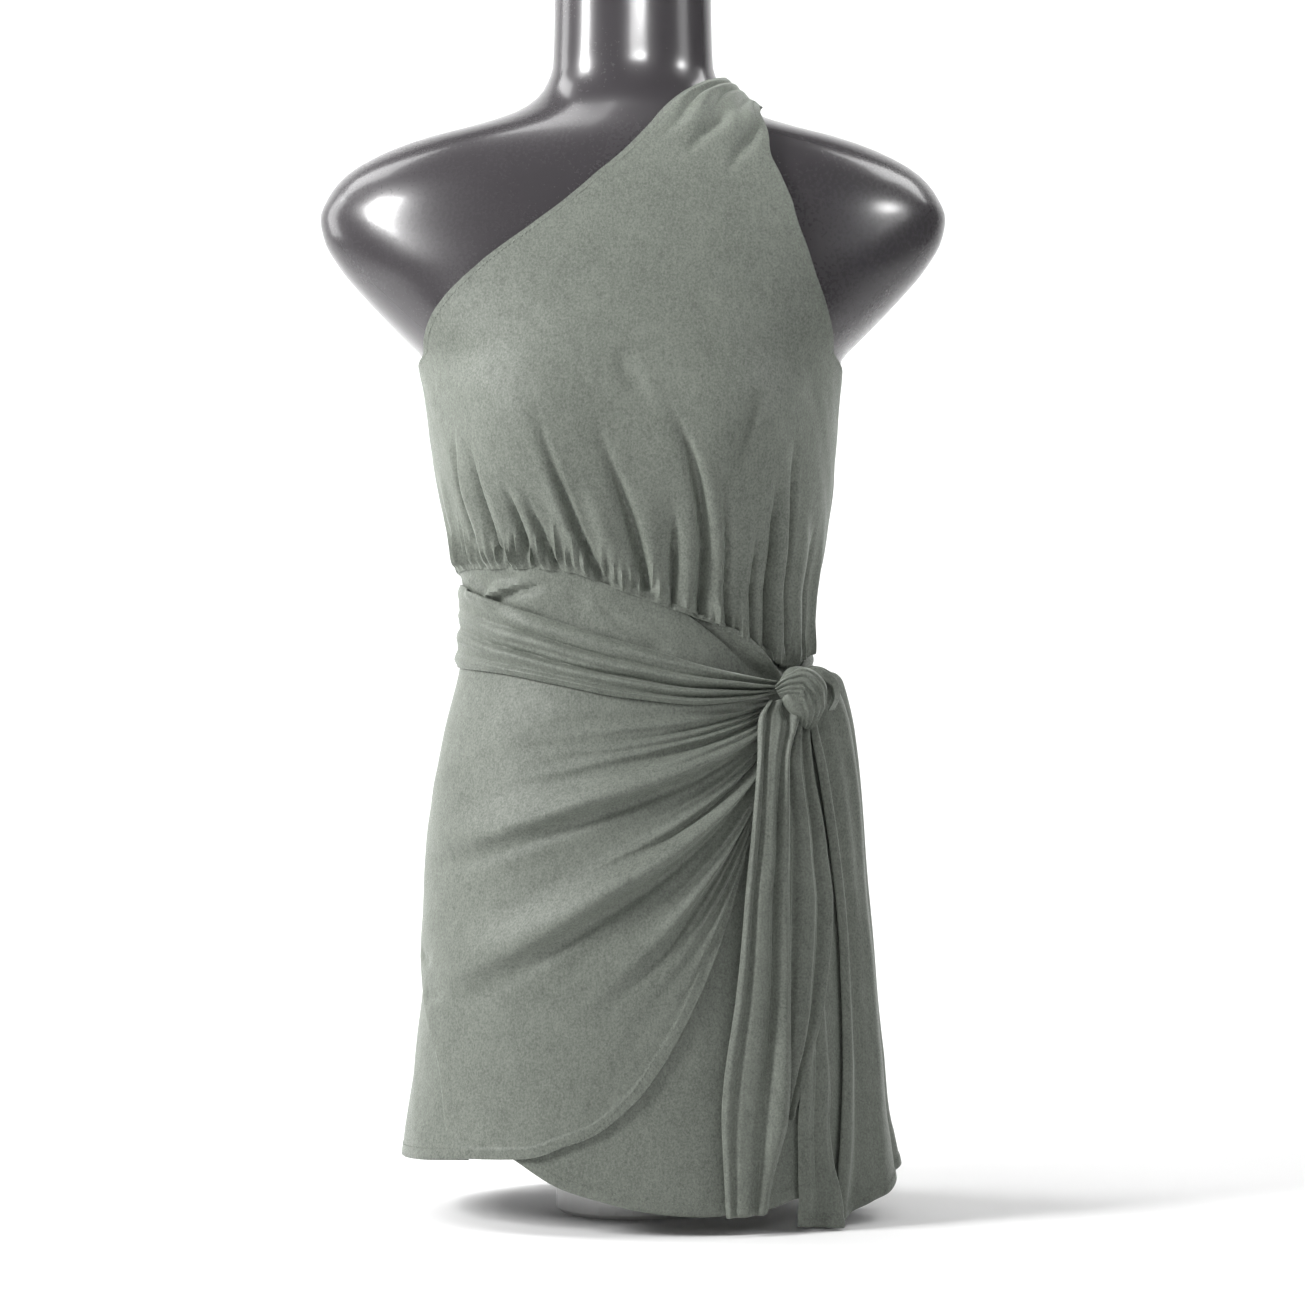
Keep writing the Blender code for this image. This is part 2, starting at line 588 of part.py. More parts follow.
def wrap_folds(ray, share):
    """Rise of the wrap panel's folds, which run to the tie."""
    rise = np.zeros_like(ray)
    for place, crest, width, top, start in WRAP_FOLDS:
        grow = ease_in((share - start) / (top - start))
        fall = 1 - (1 - FOLD_KEPT_AT_TIE) * ease_in((share - top) / (1 - top))
        rise += crest * grow * fall * bump((ray - place) / width)
    return rise


def skirt_wrap(material):
    """The wrap panel, pulled to the tie."""
    rays = stepped(WRAP_RAY_STEPS)
    ray, share, angle, z = wrap_grid(rays, np.linspace(0, 1, WRAP_ALONG))
    lift = ease(angle, z) + LAYER + wrap_folds(ray, share)
    return wall("skirt_wrap", angle, z, lift, material)


def strip_folds(across, folds):
    """Rise of folds that run the length of a strip."""
    rise = np.zeros_like(across)
    for place, crest, width in folds:
        rise += crest * bump((across - place) / width)
    return rise


def sash(material):
    """The tie band, from the knot round the wearer's right side and the back."""
    share, across = panel_grid(*SASH_GRID)
    angle = SASH[0][0] + (SASH[-1][0] - SASH[0][0]) * share
    upper, lower, extra = np.moveaxis(smooth(SASH, angle), -1, 0)
    z = upper + (lower - upper) * across
    lift = ease(angle, z) + 2 * LAYER + extra + strip_folds(across, SASH_FOLDS)
    return wall("sash", angle, z, lift, material)


def tail(name, rows, folds, lengths, columns, material):
    """A hanging end of the tie."""
    place = np.linspace(0, 1, len(rows))
    table = np.column_stack([place, np.array(rows)])
    share, across = panel_grid(lengths, columns)
    angle_a, z_a, lift_a, angle_b, z_b, lift_b = np.moveaxis(smooth(table, share), -1, 0)
    angle = angle_a + (angle_b - angle_a) * across
    z = z_a + (z_b - z_a) * across
    stand_off = lift_a + (lift_b - lift_a) * across
    lift = ease(angle, z) + stand_off + strip_folds(across, folds)
    return wall(name, angle, z, lift, material)


def squared(value):
    """A cosine or sine pushed outward, so that a round turns into a rounded square."""
    return math.copysign(abs(value) ** KNOT_SQUARENESS, value)


def knot_pair(radius, turn):
    """A point of the knot's back and the one of its front over it."""
    across, up = radius * squared(math.cos(turn)), radius * squared(math.sin(turn))
    angle = np.array(KNOT_ANGLE + KNOT_HALF_ANGLE * across)
    z = np.array(KNOT_HEIGHT + KNOT_HALF_HEIGHT * up)
    pleat = math.cos(math.pi * KNOT_PLEATS * (up + KNOT_PLEAT_SLANT * across))
    bulge = KNOT_BULGE * math.sqrt(max(0.0, 1 - radius ** KNOT_DOME_POWER))
    bulge += KNOT_PLEAT_RISE * pleat * (1 - radius ** KNOT_PLEAT_FADE_POWER)
    back = float(ease(angle, z)) + KNOT_LIFT
    return over_form(angle, z, np.array(back)), over_form(angle, z, np.array(back + KNOT_RIM + bulge))


def sash_knot(material):
    """The knot, a wrapped lump with slanting pleats, in front of the band's ends."""
    pairs = [knot_pair(0.0, 0.0)]
    for ring in range(1, KNOT_RINGS):
        for spoke in range(KNOT_SPOKES):
            pairs.append(knot_pair(ring / (KNOT_RINGS - 1), 2 * math.pi * spoke / KNOT_SPOKES))
    count = len(pairs)
    faces = []
    for spoke in range(KNOT_SPOKES):
        after = (spoke + 1) % KNOT_SPOKES
        faces.append((count, count + 1 + spoke, count + 1 + after))
        faces.append((0, 1 + after, 1 + spoke))
        for ring in range(KNOT_RINGS - 2):
            a, b = 1 + ring * KNOT_SPOKES + spoke, 1 + ring * KNOT_SPOKES + after
            c, d = a + KNOT_SPOKES, b + KNOT_SPOKES
            faces.append((count + a, count + c, count + d, count + b))
            faces.append((b, d, c, a))
        rim_a, rim_b = count - KNOT_SPOKES + spoke, count - KNOT_SPOKES + after
        faces.append((rim_a, rim_b, count + rim_b, count + rim_a))
    points = [back for back, _ in pairs] + [front for _, front in pairs]
    return new_object("sash_knot", points, faces, material)


def lathe(name, rings, material):
    """Close a stack of rings of points into one solid."""
    segments = len(rings[0])
    points = [tuple(p) for ring in rings for p in ring]
    faces = []
    for level in range(len(rings) - 1):
        for step in range(segments):
            a, b = level * segments + step, level * segments + (step + 1) % segments
            faces.append((a, b, b + segments, a + segments))
    faces.append(tuple(range(segments))[::-1])
    top = (len(rings) - 1) * segments
    faces.append(tuple(top + k for k in range(segments)))
    return new_object(name, points, faces, material)


def drawn_in(turns, at, inset, height):
    """One of the form's rings drawn in towards its middle, at another height."""
    ring = form_point(turns, np.full_like(turns, at))
    middle = np.array([0.0, ring[:, 1].mean(), 0.0])
    ring = middle + (ring - middle) * (1 - inset)
    ring[:, 2] = height
    return ring


def dress_form(material):
    """The limbless form: torso, shoulder caps and neck."""
    turns = np.linspace(-180, 180, FORM_SEGMENTS, endpoint=False)
    heights = stepped(FORM_RING_STEPS)
    rings = []
    for inset, share in END_RINGS:
        rings.append(drawn_in(turns, TORSO_BOTTOM, inset, TORSO_BOTTOM - share * TORSO_EDGE))
    rings += [form_point(turns, np.full_like(turns, height)) for height in heights]
    for inset, share in END_RINGS[::-1]:
        rings.append(drawn_in(turns, NECK_TOP, inset, NECK_TOP + share * NECK_ROUNDING))
    return lathe("dress_form", rings, material)


def form_foot(material):
    """A plain round foot under the torso."""
    top = TORSO_BOTTOM - TORSO_EDGE - FOOT_GAP
    profile = (
        (FOOT_RADIUS - FOOT_EDGE, 0.0),
        (FOOT_RADIUS, FOOT_EDGE),
        (FOOT_RADIUS, top - FOOT_EDGE),
        (FOOT_RADIUS - FOOT_EDGE, top),
    )
    turns = np.linspace(0, 2 * math.pi, FOOT_SEGMENTS, endpoint=False)
    rings = []
    for radius, height in profile:
        level = np.full_like(turns, height)
        rings.append(np.stack([radius * np.cos(turns), radius * np.sin(turns), level], axis=-1))
    return lathe("form_foot", rings, material)


def make_material(name):
    """A Principled material from its colour, roughness and metallic value."""
    colour, roughness, metallic = MATERIALS[name]
    material = bpy.data.materials.new(name)
    material.use_nodes = True
    shader = material.node_tree.nodes["Principled BSDF"]
    shader.inputs["Base Color"].default_value = (*colour, 1.0)
    shader.inputs["Roughness"].default_value = roughness
    shader.inputs["Metallic"].default_value = metallic
    return material


def main():
    for thing in list(bpy.data.objects):
        bpy.data.objects.remove(thing, do_unlink=True)
    jersey = make_material("jersey")
    dress_form(make_material("form_plastic"))
    form_foot(make_material("foot_plastic"))
    bodice("bodice_front", BODICE_FRONT, FRONT_GATHERS, FRONT_COLUMNS, stepped(FRONT_STEPS), jersey)
    bodice("bodice_back", BODICE_BACK, back_gathers(), BACK_COLUMNS, stepped(BACK_STEPS), jersey)
    skirt_back(jersey)
    skirt_under(jersey)
    skirt_wrap(jersey)
    sash(jersey)
    for name, rows, folds, grid in TAILS:
        tail(name, rows, folds, *grid, jersey)
    sash_knot(jersey)


main()
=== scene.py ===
# %% [markdown]
# # A one-shoulder wrap dress on a glossy dress form
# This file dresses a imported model. The model gives the pieces at their real place and size,
# and each cell below makes one piece again with a finer surface, or gives it its finish.
# All lengths are metres. The front of the dress faces -Y and the knot is on the +X side.

# %% The frame
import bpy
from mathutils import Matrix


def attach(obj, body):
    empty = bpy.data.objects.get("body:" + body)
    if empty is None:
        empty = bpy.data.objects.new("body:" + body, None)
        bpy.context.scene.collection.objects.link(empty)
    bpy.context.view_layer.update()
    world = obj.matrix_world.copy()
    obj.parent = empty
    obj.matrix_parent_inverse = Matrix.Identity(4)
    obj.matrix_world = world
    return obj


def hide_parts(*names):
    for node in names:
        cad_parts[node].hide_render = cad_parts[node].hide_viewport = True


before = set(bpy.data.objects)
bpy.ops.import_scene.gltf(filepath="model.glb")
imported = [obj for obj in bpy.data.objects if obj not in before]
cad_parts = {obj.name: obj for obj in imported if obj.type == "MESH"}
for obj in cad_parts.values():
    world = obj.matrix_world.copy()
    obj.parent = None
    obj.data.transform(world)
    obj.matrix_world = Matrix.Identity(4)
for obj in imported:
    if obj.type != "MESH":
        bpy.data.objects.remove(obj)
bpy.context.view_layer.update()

import math

import bpy
import numpy as np
from mathutils import Vector

print("nodes in the frame:", sorted(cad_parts))

# %% [markdown]
# ## Tables that read as curves
# A body is described by a few rows of numbers: at this height, this wide. Reading between the
# rows with straight lines would leave corners, so the reader below fits a monotone cubic, a
# curve that passes through every row and never swings past one.

# %% Reading a table
def smooth(rows, at):
    """Read a table's columns at the places given, with monotone cubic curves."""
    rows = np.asarray(rows, float)
    steps = np.diff(rows[:, 0])[:, None]
    slopes = np.diff(rows[:, 1:], axis=0) / steps
    tangents = np.zeros_like(rows[:, 1:])
    tangents[0] = slopes[0]
    tangents[-1] = slopes[-1]
    before = 2 * steps[1:] + steps[:-1]
    after = steps[1:] + 2 * steps[:-1]
    same_way = slopes[:-1] * slopes[1:] > 0
    lower = np.where(same_way, slopes[:-1], 1.0)
    upper = np.where(same_way, slopes[1:], 1.0)
    tangents[1:-1] = np.where(same_way, (before + after) / (before / lower + after / upper), 0.0)
    at = np.clip(np.asarray(at, float), rows[0, 0], rows[-1, 0])
    row = np.clip(np.searchsorted(rows[:, 0], at, side="right") - 1, 0, len(rows) - 2)
    share = ((at - rows[row, 0]) / steps[row, 0])[..., None]
    span = steps[row]
    start, end = rows[row, 1:], rows[row + 1, 1:]
    return (
        start * (1 + 2 * share) * (1 - share) ** 2
        + end * share ** 2 * (3 - 2 * share)
        + tangents[row] * span * share * (1 - share) ** 2
        - tangents[row + 1] * span * share ** 2 * (1 - share)
    )


def bump(distance):
    """A soft ridge: 1 at distance 0, near 0 from distance 2 on."""
    return np.exp(-np.asarray(distance, float) ** 2)


def rolled(distance, lean):
    """A ridge with one steep side, like cloth that tips over: lean -1 to 1 picks the side."""
    distance = np.asarray(distance, float)
    wide = np.where(distance * lean > 0, 1 - 0.62 * abs(lean), 1 + 0.75 * abs(lean))
    return np.exp(-np.abs(distance / wide) ** 2)


def ease_in(value):
    """A smooth step from 0 to 1."""
    value = np.clip(value, 0.0, 1.0)
    return value * value * (3 - 2 * value)


print("table reader ready; middle of a ridge:", float(bump(0)))

# %% [markdown]
# ## The body under the dress
# A display torso is a stack of rounded rings. Each row gives the half width, the depth in front
# and behind, and how square the ring is. Angle 0 is the middle of the front and 90 is the
# wearer's left. Everything else in the file is placed by angle, height and lift off this skin.

# %% The form's rings
FORM_SECTIONS = (
    (0.000, 0.1180, 0.0970, 0.1030, 2.15),
    (0.058, 0.1210, 0.0990, 0.1050, 2.15),
    (0.108, 0.1270, 0.1050, 0.1120, 2.15),
    (0.176, 0.1295, 0.1075, 0.1150, 2.15),
    (0.244, 0.1275, 0.1050, 0.1080, 2.15),
    (0.322, 0.1200, 0.0965, 0.0920, 2.15),
    (0.370, 0.1110, 0.0890, 0.0820, 2.15),
    (0.414, 0.1090, 0.0880, 0.0800, 2.15),
    (0.448, 0.1150, 0.0940, 0.0830, 2.20),
    (0.482, 0.1220, 0.1040, 0.0880, 2.25),
    (0.516, 0.1290, 0.1110, 0.0930, 2.30),
    (0.545, 0.1340, 0.1125, 0.0970, 2.30),
    (0.577, 0.1420, 0.1090, 0.0985, 2.25),
    (0.591, 0.1550, 0.1065, 0.0985, 2.20),
    (0.618, 0.1810, 0.1000, 0.0975, 2.10),
    (0.640, 0.1995, 0.0950, 0.0960, 2.05),
    (0.659, 0.2100, 0.0900, 0.0940, 2.00),
    (0.673, 0.2125, 0.0860, 0.0920, 2.00),
    (0.690, 0.2055, 0.0810, 0.0885, 2.00),
    (0.703, 0.1940, 0.0760, 0.0845, 2.00),
    (0.715, 0.1740, 0.0710, 0.0805, 2.00),
    (0.726, 0.1460, 0.0655, 0.0770, 2.00),
    (0.735, 0.1110, 0.0605, 0.0735, 2.00),
    (0.743, 0.0850, 0.0560, 0.0705, 2.00),
    (0.751, 0.0700, 0.0515, 0.0675, 2.00),
    (0.762, 0.0600, 0.0475, 0.0645, 2.00),
    (0.778, 0.0545, 0.0450, 0.0625, 2.00),
    (0.832, 0.0530, 0.0450, 0.0640, 2.00),
)
BUST_ANGLE, BUST_HEIGHT, BUST_RISE = 33.0, 0.528, 0.011
BUST_ANGLE_SPREAD, BUST_HEIGHT_SPREAD = 21.0, 0.046


def form_point(angle, z):
    """Points on the form's skin."""
    half, front, back, square = np.moveaxis(smooth(FORM_SECTIONS, z), -1, 0)
    turn = np.radians(angle)
    across, ahead = np.sin(turn), np.cos(turn)
    power = 2 / square
    turned = np.mod(np.asarray(angle, float) + 180, 360) - 180
    bust = BUST_RISE * bump((z - BUST_HEIGHT) / BUST_HEIGHT_SPREAD) * (
        bump((turned - BUST_ANGLE) / BUST_ANGLE_SPREAD)
        + bump((turned + BUST_ANGLE) / BUST_ANGLE_SPREAD)
    )
    depth = np.where(ahead > 0, front + bust, back)
    x = half * np.sign(across) * np.abs(across) ** power
    y = -depth * np.sign(ahead) * np.abs(ahead) ** power
    return np.stack(np.broadcast_arrays(x, y, z), axis=-1)


def over_form(angle, z, lift):
    """Points that stand off the form by a lift along the skin's normal."""
    turn_step, height_step = 0.6, 0.0012
    round_way = form_point(angle + turn_step, z) - form_point(angle - turn_step, z)
    up_way = form_point(angle, z + height_step) - form_point(angle, z - height_step)
    normal = np.cross(round_way, up_way)
    normal /= np.linalg.norm(normal, axis=-1, keepdims=True)
    return form_point(angle, z) + normal * np.asarray(lift)[..., None]


print("waist girth of the form, mm:", round(1000 * float(np.linalg.norm(np.diff(
    form_point(np.linspace(0, 360, 181), np.full(181, 0.414)), axis=0), axis=1).sum())))

# %% [markdown]
# ## How far the cloth stands off
# Jersey clings where it is stretched and hangs clear below the hip. One small table holds the
# skirt's ease and another how far the bodice blouses out over its gathered waist seam.

# %% Ease, blouse and the waist seam
CLOTH = 0.0011
LAYER = 0.0032
REST = 0.0009
EASE = (
    (0.000, 0.0390, 0.0240, 0.0460, 0.0250),
    (0.058, 0.0325, 0.0175, 0.0365, 0.0190),
    (0.108, 0.0190, 0.0085, 0.0260, 0.0100),
    (0.176, 0.0105, 0.0026, 0.0172, 0.0036),
    (0.244, 0.0088, 0.0010, 0.0122, 0.0014),
    (0.322, 0.0047, 0.0010, 0.0086, 0.0012),
    (0.370, 0.0020, 0.0010, 0.0044, 0.0010),
    (0.414, 0.0010, 0.0010, 0.0010, 0.0010),
    (0.832, 0.0010, 0.0010, 0.0010, 0.0010),
)
BLOUSE = (
    (0.000, 0.0036, 0.0042, 0.0050, 0.0010),
    (0.020, 0.0052, 0.0060, 0.0104, 0.0032),
    (0.045, 0.0060, 0.0062, 0.0130, 0.0045),
    (0.085, 0.0046, 0.0040, 0.0105, 0.0040),
    (0.130, 0.0022, 0.0012, 0.0050, 0.0020),
    (0.180, 0.0000, 0.0000, 0.0000, 0.0000),
)
WAIST_SEAM = (
    (-95, 0.4335), (-64, 0.4370), (-32, 0.4365), (-18, 0.4335), (-7, 0.4245), (2, 0.4165),
    (12, 0.4085), (22, 0.4015), (35, 0.3915), (46, 0.3815), (55, 0.3755), (65, 0.3785),
    (90, 0.3920), (180, 0.4120), (275, 0.4335),
)


def round_body(table, angle, at):
    """Read a table whose columns are the wearer's right, front, left and back."""
    turn = np.radians(angle)
    across, ahead = np.sin(turn), np.cos(turn)
    right, front, left, back = np.moveaxis(smooth(table, at), -1, 0)
    return (
        right * np.clip(-across, 0, 1) ** 2 + left * np.clip(across, 0, 1) ** 2
        + front * np.clip(ahead, 0, 1) ** 2 + back * np.clip(-ahead, 0, 1) ** 2
    )


def ease(angle, z):
    """How far the skirt's first layer stands off the form."""
    return round_body(EASE, angle, z)


def waist(angle):
    """Height of the waist seam."""
    return smooth(WAIST_SEAM, angle)[..., 0]


print("skirt ease at the knot side of the hem, mm:", round(1000 * float(ease(90.0, 0.03)), 1))

# %% [markdown]
# ## Shader maths in plain Python
# A material is a graph of small nodes. Writing them one by one hides the idea, so a tiny class
# wraps a socket and lets Python's own operators add the Math nodes. Colours go through Mix.

# %% A socket that takes operators
class Signal:
    """One output socket of a material, usable in arithmetic."""

    def __init__(self, paint, socket):
        self.paint = paint
        self.socket = socket

    def _with(self, operation, other, swapped=False):
        first, second = (other, self) if swapped else (self, other)
        return self.paint.node("ShaderNodeMath", {"operation": operation}, {0: first, 1: second})

    def __add__(self, other):
        return self._with("ADD", other)

    def __radd__(self, other):
        return self._with("ADD", other, True)

    def __sub__(self, other):
        return self._with("SUBTRACT", other)

    def __rsub__(self, other):
        return self._with("SUBTRACT", other, True)

    def __mul__(self, other):
        return self._with("MULTIPLY", other)

    def __rmul__(self, other):
        return self._with("MULTIPLY", other, True)


class Paint:
    """A Principled material that is built from signals."""

    def __init__(self, name):
        self.material = bpy.data.materials.new(name)
        self.material.use_nodes = True
        self.tree = self.material.node_tree
        self.shader = self.tree.nodes["Principled BSDF"]

    def node(self, kind, settings=None, inputs=None, output=0):
        """Add a node: its settings first, then the values or links of its sockets."""
        node = self.tree.nodes.new(kind)
        for key, value in (settings or {}).items():
            setattr(node, key, value)
        for key, value in (inputs or {}).items():
            self.feed(node.inputs[key], value)
        return Signal(self, node.outputs[output])

    def feed(self, socket, value):
        """Link a signal to a socket, or set a plain value on it."""
        if isinstance(value, Signal):
            self.tree.links.new(value.socket, socket)
        else:
            socket.default_value = value

    def place(self, stretch):
        """The piece's own coordinates in metres, stretched along each axis."""
        spot = self.node("ShaderNodeTexCoord", output="Object")
        return self.node("ShaderNodeVectorMath", {"operation": "MULTIPLY"}, {0: spot, 1: stretch})

    def noise(self, stretch, scale, detail=2.0, roughness=0.5):
        """Soft noise from 0 to 1 at a number of features a metre."""
        return self.node("ShaderNodeTexNoise", {}, {
            "Vector": self.place(stretch), "Scale": scale, "Detail": detail, "Roughness": roughness,
        })

    def blend(self, factor, one, other):
        """Mix two colours."""
        return self.node("ShaderNodeMix", {"data_type": "RGBA"}, {
            "Factor": factor, 6: one, 7: other,
        }, 2)

    def range(self, signal, low, high):
        """Map a signal between two values onto 0 to 1."""
        return self.node("ShaderNodeMapRange", {}, {
            "Value": signal, "From Min": low, "From Max": high, "To Min": 0.0, "To Max": 1.0,
        })

    def finish(self, colour, rough, normal=None, **constants):
        """Feed the shader, and set what is the same all over on its own sockets."""
        self.feed(self.shader.inputs["Base Color"], colour)
        self.feed(self.shader.inputs["Roughness"], rough)
        if normal is not None:
            self.feed(self.shader.inputs["Normal"], normal)
        for key, value in constants.items():
            self.shader.inputs[key.replace("_", " ")].default_value = value
        return self.material


print("shader maths ready")

# %% [markdown]
# ## Brushed jersey
# Slinky jersey with a brushed face has three scales. Its nap lies in soft blotches a few
# centimetres across that catch the light, it has a fine speckle of fibres, and under that are
# the knit's wales, half a millimetre apart, which run down the cloth. The sheen is a constant.

# %% The jersey material
JERSEY_DEEP = (0.088, 0.098, 0.083, 1)
JERSEY_PALE = (0.188, 0.205, 0.177, 1)


def jersey(name, deep=JERSEY_DEEP, pale=JERSEY_PALE):
    """Sage jersey with a nap, a speckle and fine wales."""
    paint = Paint(name)
    blotches = paint.noise((1, 1, 0.8), 30.0, 4.0, 0.62)
    flecks = paint.noise((1.4, 1.4, 0.8), 150.0, 3.0, 0.65)
    speckle = paint.noise((1, 1, 0.8), 760.0, 3.0, 0.75)
    fibres = paint.noise((1, 1, 0.5), 2100.0, 1.0, 0.5)
    nap = blotches * 0.16 + flecks * 0.20 + speckle * 0.64
    shade = paint.range(nap, 0.36, 0.63)
    colour = paint.blend(shade, deep, pale)
    rough = 0.62 - 0.16 * shade
    height = speckle * 0.6 + fibres * 0.4
    normal = paint.node("ShaderNodeBump", {}, {"Strength": 0.60, "Distance": 0.0006, "Height": height})
    return paint.finish(
        colour, rough, normal, Sheen_Weight=0.45, Sheen_Roughness=0.30,
        Sheen_Tint=(0.82, 0.88, 0.80, 1), Specular_IOR_Level=0.32,
    )


cloth_paint = jersey("sage_jersey")
thread_paint = jersey("sage_thread", (0.110, 0.124, 0.104, 1), (0.190, 0.208, 0.178, 1))
print("jersey nodes:", len(cloth_paint.node_tree.nodes))

# %% [markdown]
# ## Glossy moulded plastic
# The torso is smooth dark grey plastic. Real moulded plastic is never quite even: a faint
# cloudiness in its gloss and a very long, low ripple keep the reflections from looking drawn.

# %% The plastics
def plastic(name, dark, light, gloss, cloud):
    """Moulded plastic with a slightly uneven gloss."""
    paint = Paint(name)
    clouds = paint.noise((1, 1, 1), 9.0, 3.0, 0.5)
    dust = paint.noise((1, 1, 1), 420.0, 2.0, 0.6)
    colour = paint.blend(clouds, dark, light)
    rough = gloss + cloud * clouds + 0.05 * dust
    ripple = paint.noise((1, 1, 1), 14.0, 1.0, 0.4)
    normal = paint.node("ShaderNodeBump", {}, {"Strength": 0.10, "Distance": 0.004, "Height": ripple})
    return paint.finish(colour, rough, normal, Coat_Weight=0.35, Coat_Roughness=0.12)


form_paint = plastic("form_plastic", (0.034, 0.031, 0.034, 1), (0.046, 0.042, 0.046, 1), 0.20, 0.08)
foot_paint = plastic("foot_plastic", (0.78, 0.78, 0.77, 1), (0.86, 0.86, 0.85, 1), 0.38, 0.10)
print("plastics ready")

# %% [markdown]
# ## Building a thin wall
# Every panel is a grid of points on its outer side. The inner side is the same grid moved in
# along the cloth's own normal, and a strip round the rim joins the two, so that the edge
# shows the thickness of real cloth.

# %% From grids to meshes
def make_mesh(name, points, faces, paint, smooth_angle=60):
    """A mesh object from points and faces."""
    mesh = bpy.data.meshes.new(name)
    mesh.from_pydata(np.asarray(points).tolist(), [], faces)
    mesh.validate()
    mesh.materials.append(paint)
    mesh.shade_smooth()
    mesh.set_sharp_from_angle(angle=math.radians(smooth_angle))
    thing = bpy.data.objects.new(name, mesh)
    bpy.context.scene.collection.objects.link(thing)
    return thing


def grid_faces(rows, columns, start=0):
    """Quads of a grid, as one array."""
    index = start + np.arange(rows * columns).reshape(rows, columns)
    quads = np.stack([index[:-1, :-1], index[:-1, 1:], index[1:, 1:], index[1:, :-1]], axis=-1)
    return quads.reshape(-1, 4)


def grid_normals(points):
    """Unit normals of a grid of points."""
    along = np.gradient(points, axis=0)
    across = np.gradient(points, axis=1)
    normal = np.cross(across, along)
    return normal / np.maximum(np.linalg.norm(normal, axis=-1, keepdims=True), 1e-12)


def rim_of(rows, columns):
    """Indices once round the edge of a grid."""
    index = np.arange(rows * columns).reshape(rows, columns)
    return np.concatenate([
        index[0, :-1], index[:-1, -1], index[-1, :0:-1], index[:0:-1, 0],
    ])


EDGE_ROUNDING = 0.32


def cloth_wall(name, outer):
    """A closed thin wall of jersey from the grid of its outer side."""
    normal = grid_normals(outer)
    outward = outer * np.array([1, 1, 0])
    if float((normal * outward).sum()) < 0:
        outer = outer[:, ::-1]
        normal = grid_normals(outer)
    rows, columns = outer.shape[:2]
    count = rows * columns
    under = outer - normal * CLOTH
    middle = (outer + under) / 2
    rim = rim_of(rows, columns)
    push = np.zeros_like(outer)
    push[0] += outer[0] - outer[1]
    push[-1] += outer[-1] - outer[-2]
    push[:, 0] += outer[:, 0] - outer[:, 1]
    push[:, -1] += outer[:, -1] - outer[:, -2]
    push /= np.maximum(np.linalg.norm(push, axis=-1, keepdims=True), 1e-12)
    edge = (middle + push * CLOTH * EDGE_ROUNDING).reshape(-1, 3)[rim]
    points = np.concatenate([outer.reshape(-1, 3), under.reshape(-1, 3), edge])
    following = np.roll(rim, -1)
    edge_here = 2 * count + np.arange(len(rim))
    edge_next = 2 * count + np.roll(np.arange(len(rim)), -1)
    faces = np.concatenate([
        grid_faces(rows, columns),
        grid_faces(rows, columns, count)[:, ::-1],
        np.stack([following, rim, edge_here, edge_next], axis=-1),
        np.stack([edge_next, edge_here, count + rim, count + following], axis=-1),
    ])
    return make_mesh(name, points, faces.tolist(), cloth_paint)


print("a 3 by 4 grid has", len(grid_faces(3, 4)), "quads and a rim of", len(rim_of(3, 4)))

# %% [markdown]
# ## Hems and stitches
# A hem is the cloth's own edge, turned under and sewn down. The doubled part stands up a little
# and the thread pulls a groove beside it, so both can be worked out from each point's distance to
# the edge. The stitches are real: small spindles of thread, laid along that groove.

# %% Hems and stitches
POINTS_AT_ONCE = 4000
HEM_RISE, HEM_STEP = 0.0007, 0.0016
HEM_GROOVE, GROOVE_WIDTH = 0.0007, 0.0009


def distance_to(points, line):
    """Distance of each point of a grid from a line of points, a batch at a time."""
    flat = points.reshape(-1, 3)
    result = np.empty(len(flat))
    for start in range(0, len(flat), POINTS_AT_ONCE):
        batch = slice(start, start + POINTS_AT_ONCE)
        result[batch] = np.sqrt(((flat[batch][:, None] - line[None]) ** 2).sum(-1).min(1))
    return result.reshape(points.shape[:2])


def hem_relief(points, line, width):
    """A doubled hem: raised up to its stitching, with a groove where the thread pulls."""
    past_hem = distance_to(points, line) - width
    return HEM_RISE * (1 - ease_in(past_hem / HEM_STEP)) - HEM_GROOVE * bump(past_hem / GROOVE_WIDTH)


def inset_line(points, side, distance):
    """The line a distance in from one side of a grid."""
    columns_first = points.transpose(1, 0, 2)
    turned = {
        "first_row": points, "last_row": points[::-1],
        "first_column": columns_first, "last_column": columns_first[::-1],
    }[side]
    steps = np.linalg.norm(np.diff(turned, axis=0), axis=-1)
    reach = np.concatenate([np.zeros((1, steps.shape[1])), np.cumsum(steps, axis=0)])
    line = np.empty((turned.shape[1], 3))
    for column in range(turned.shape[1]):
        for axis in range(3):
            line[column, axis] = np.interp(distance, reach[:, column], turned[:, column, axis])
    return line


STITCH_PITCH = 0.0032
STITCH_LENGTH = 0.0023
STITCH_RADIUS = 0.00028
STITCH_SIDES = 5
# A stitch's rings: place along it, size, and height over the cloth in radii
STITCH_RINGS = ((-0.5, 0.3, -0.7), (-0.2, 1.0, 0.55), (0.2, 1.0, 0.55), (0.5, 0.3, -0.7))
LOOK_AHEAD = 0.0008
stitch_points, stitch_faces = [], []


def at_length(place, lengths, values):
    """A line's point or normal at a length along it."""
    return np.array([np.interp(place, lengths, values[:, axis]) for axis in range(3)])


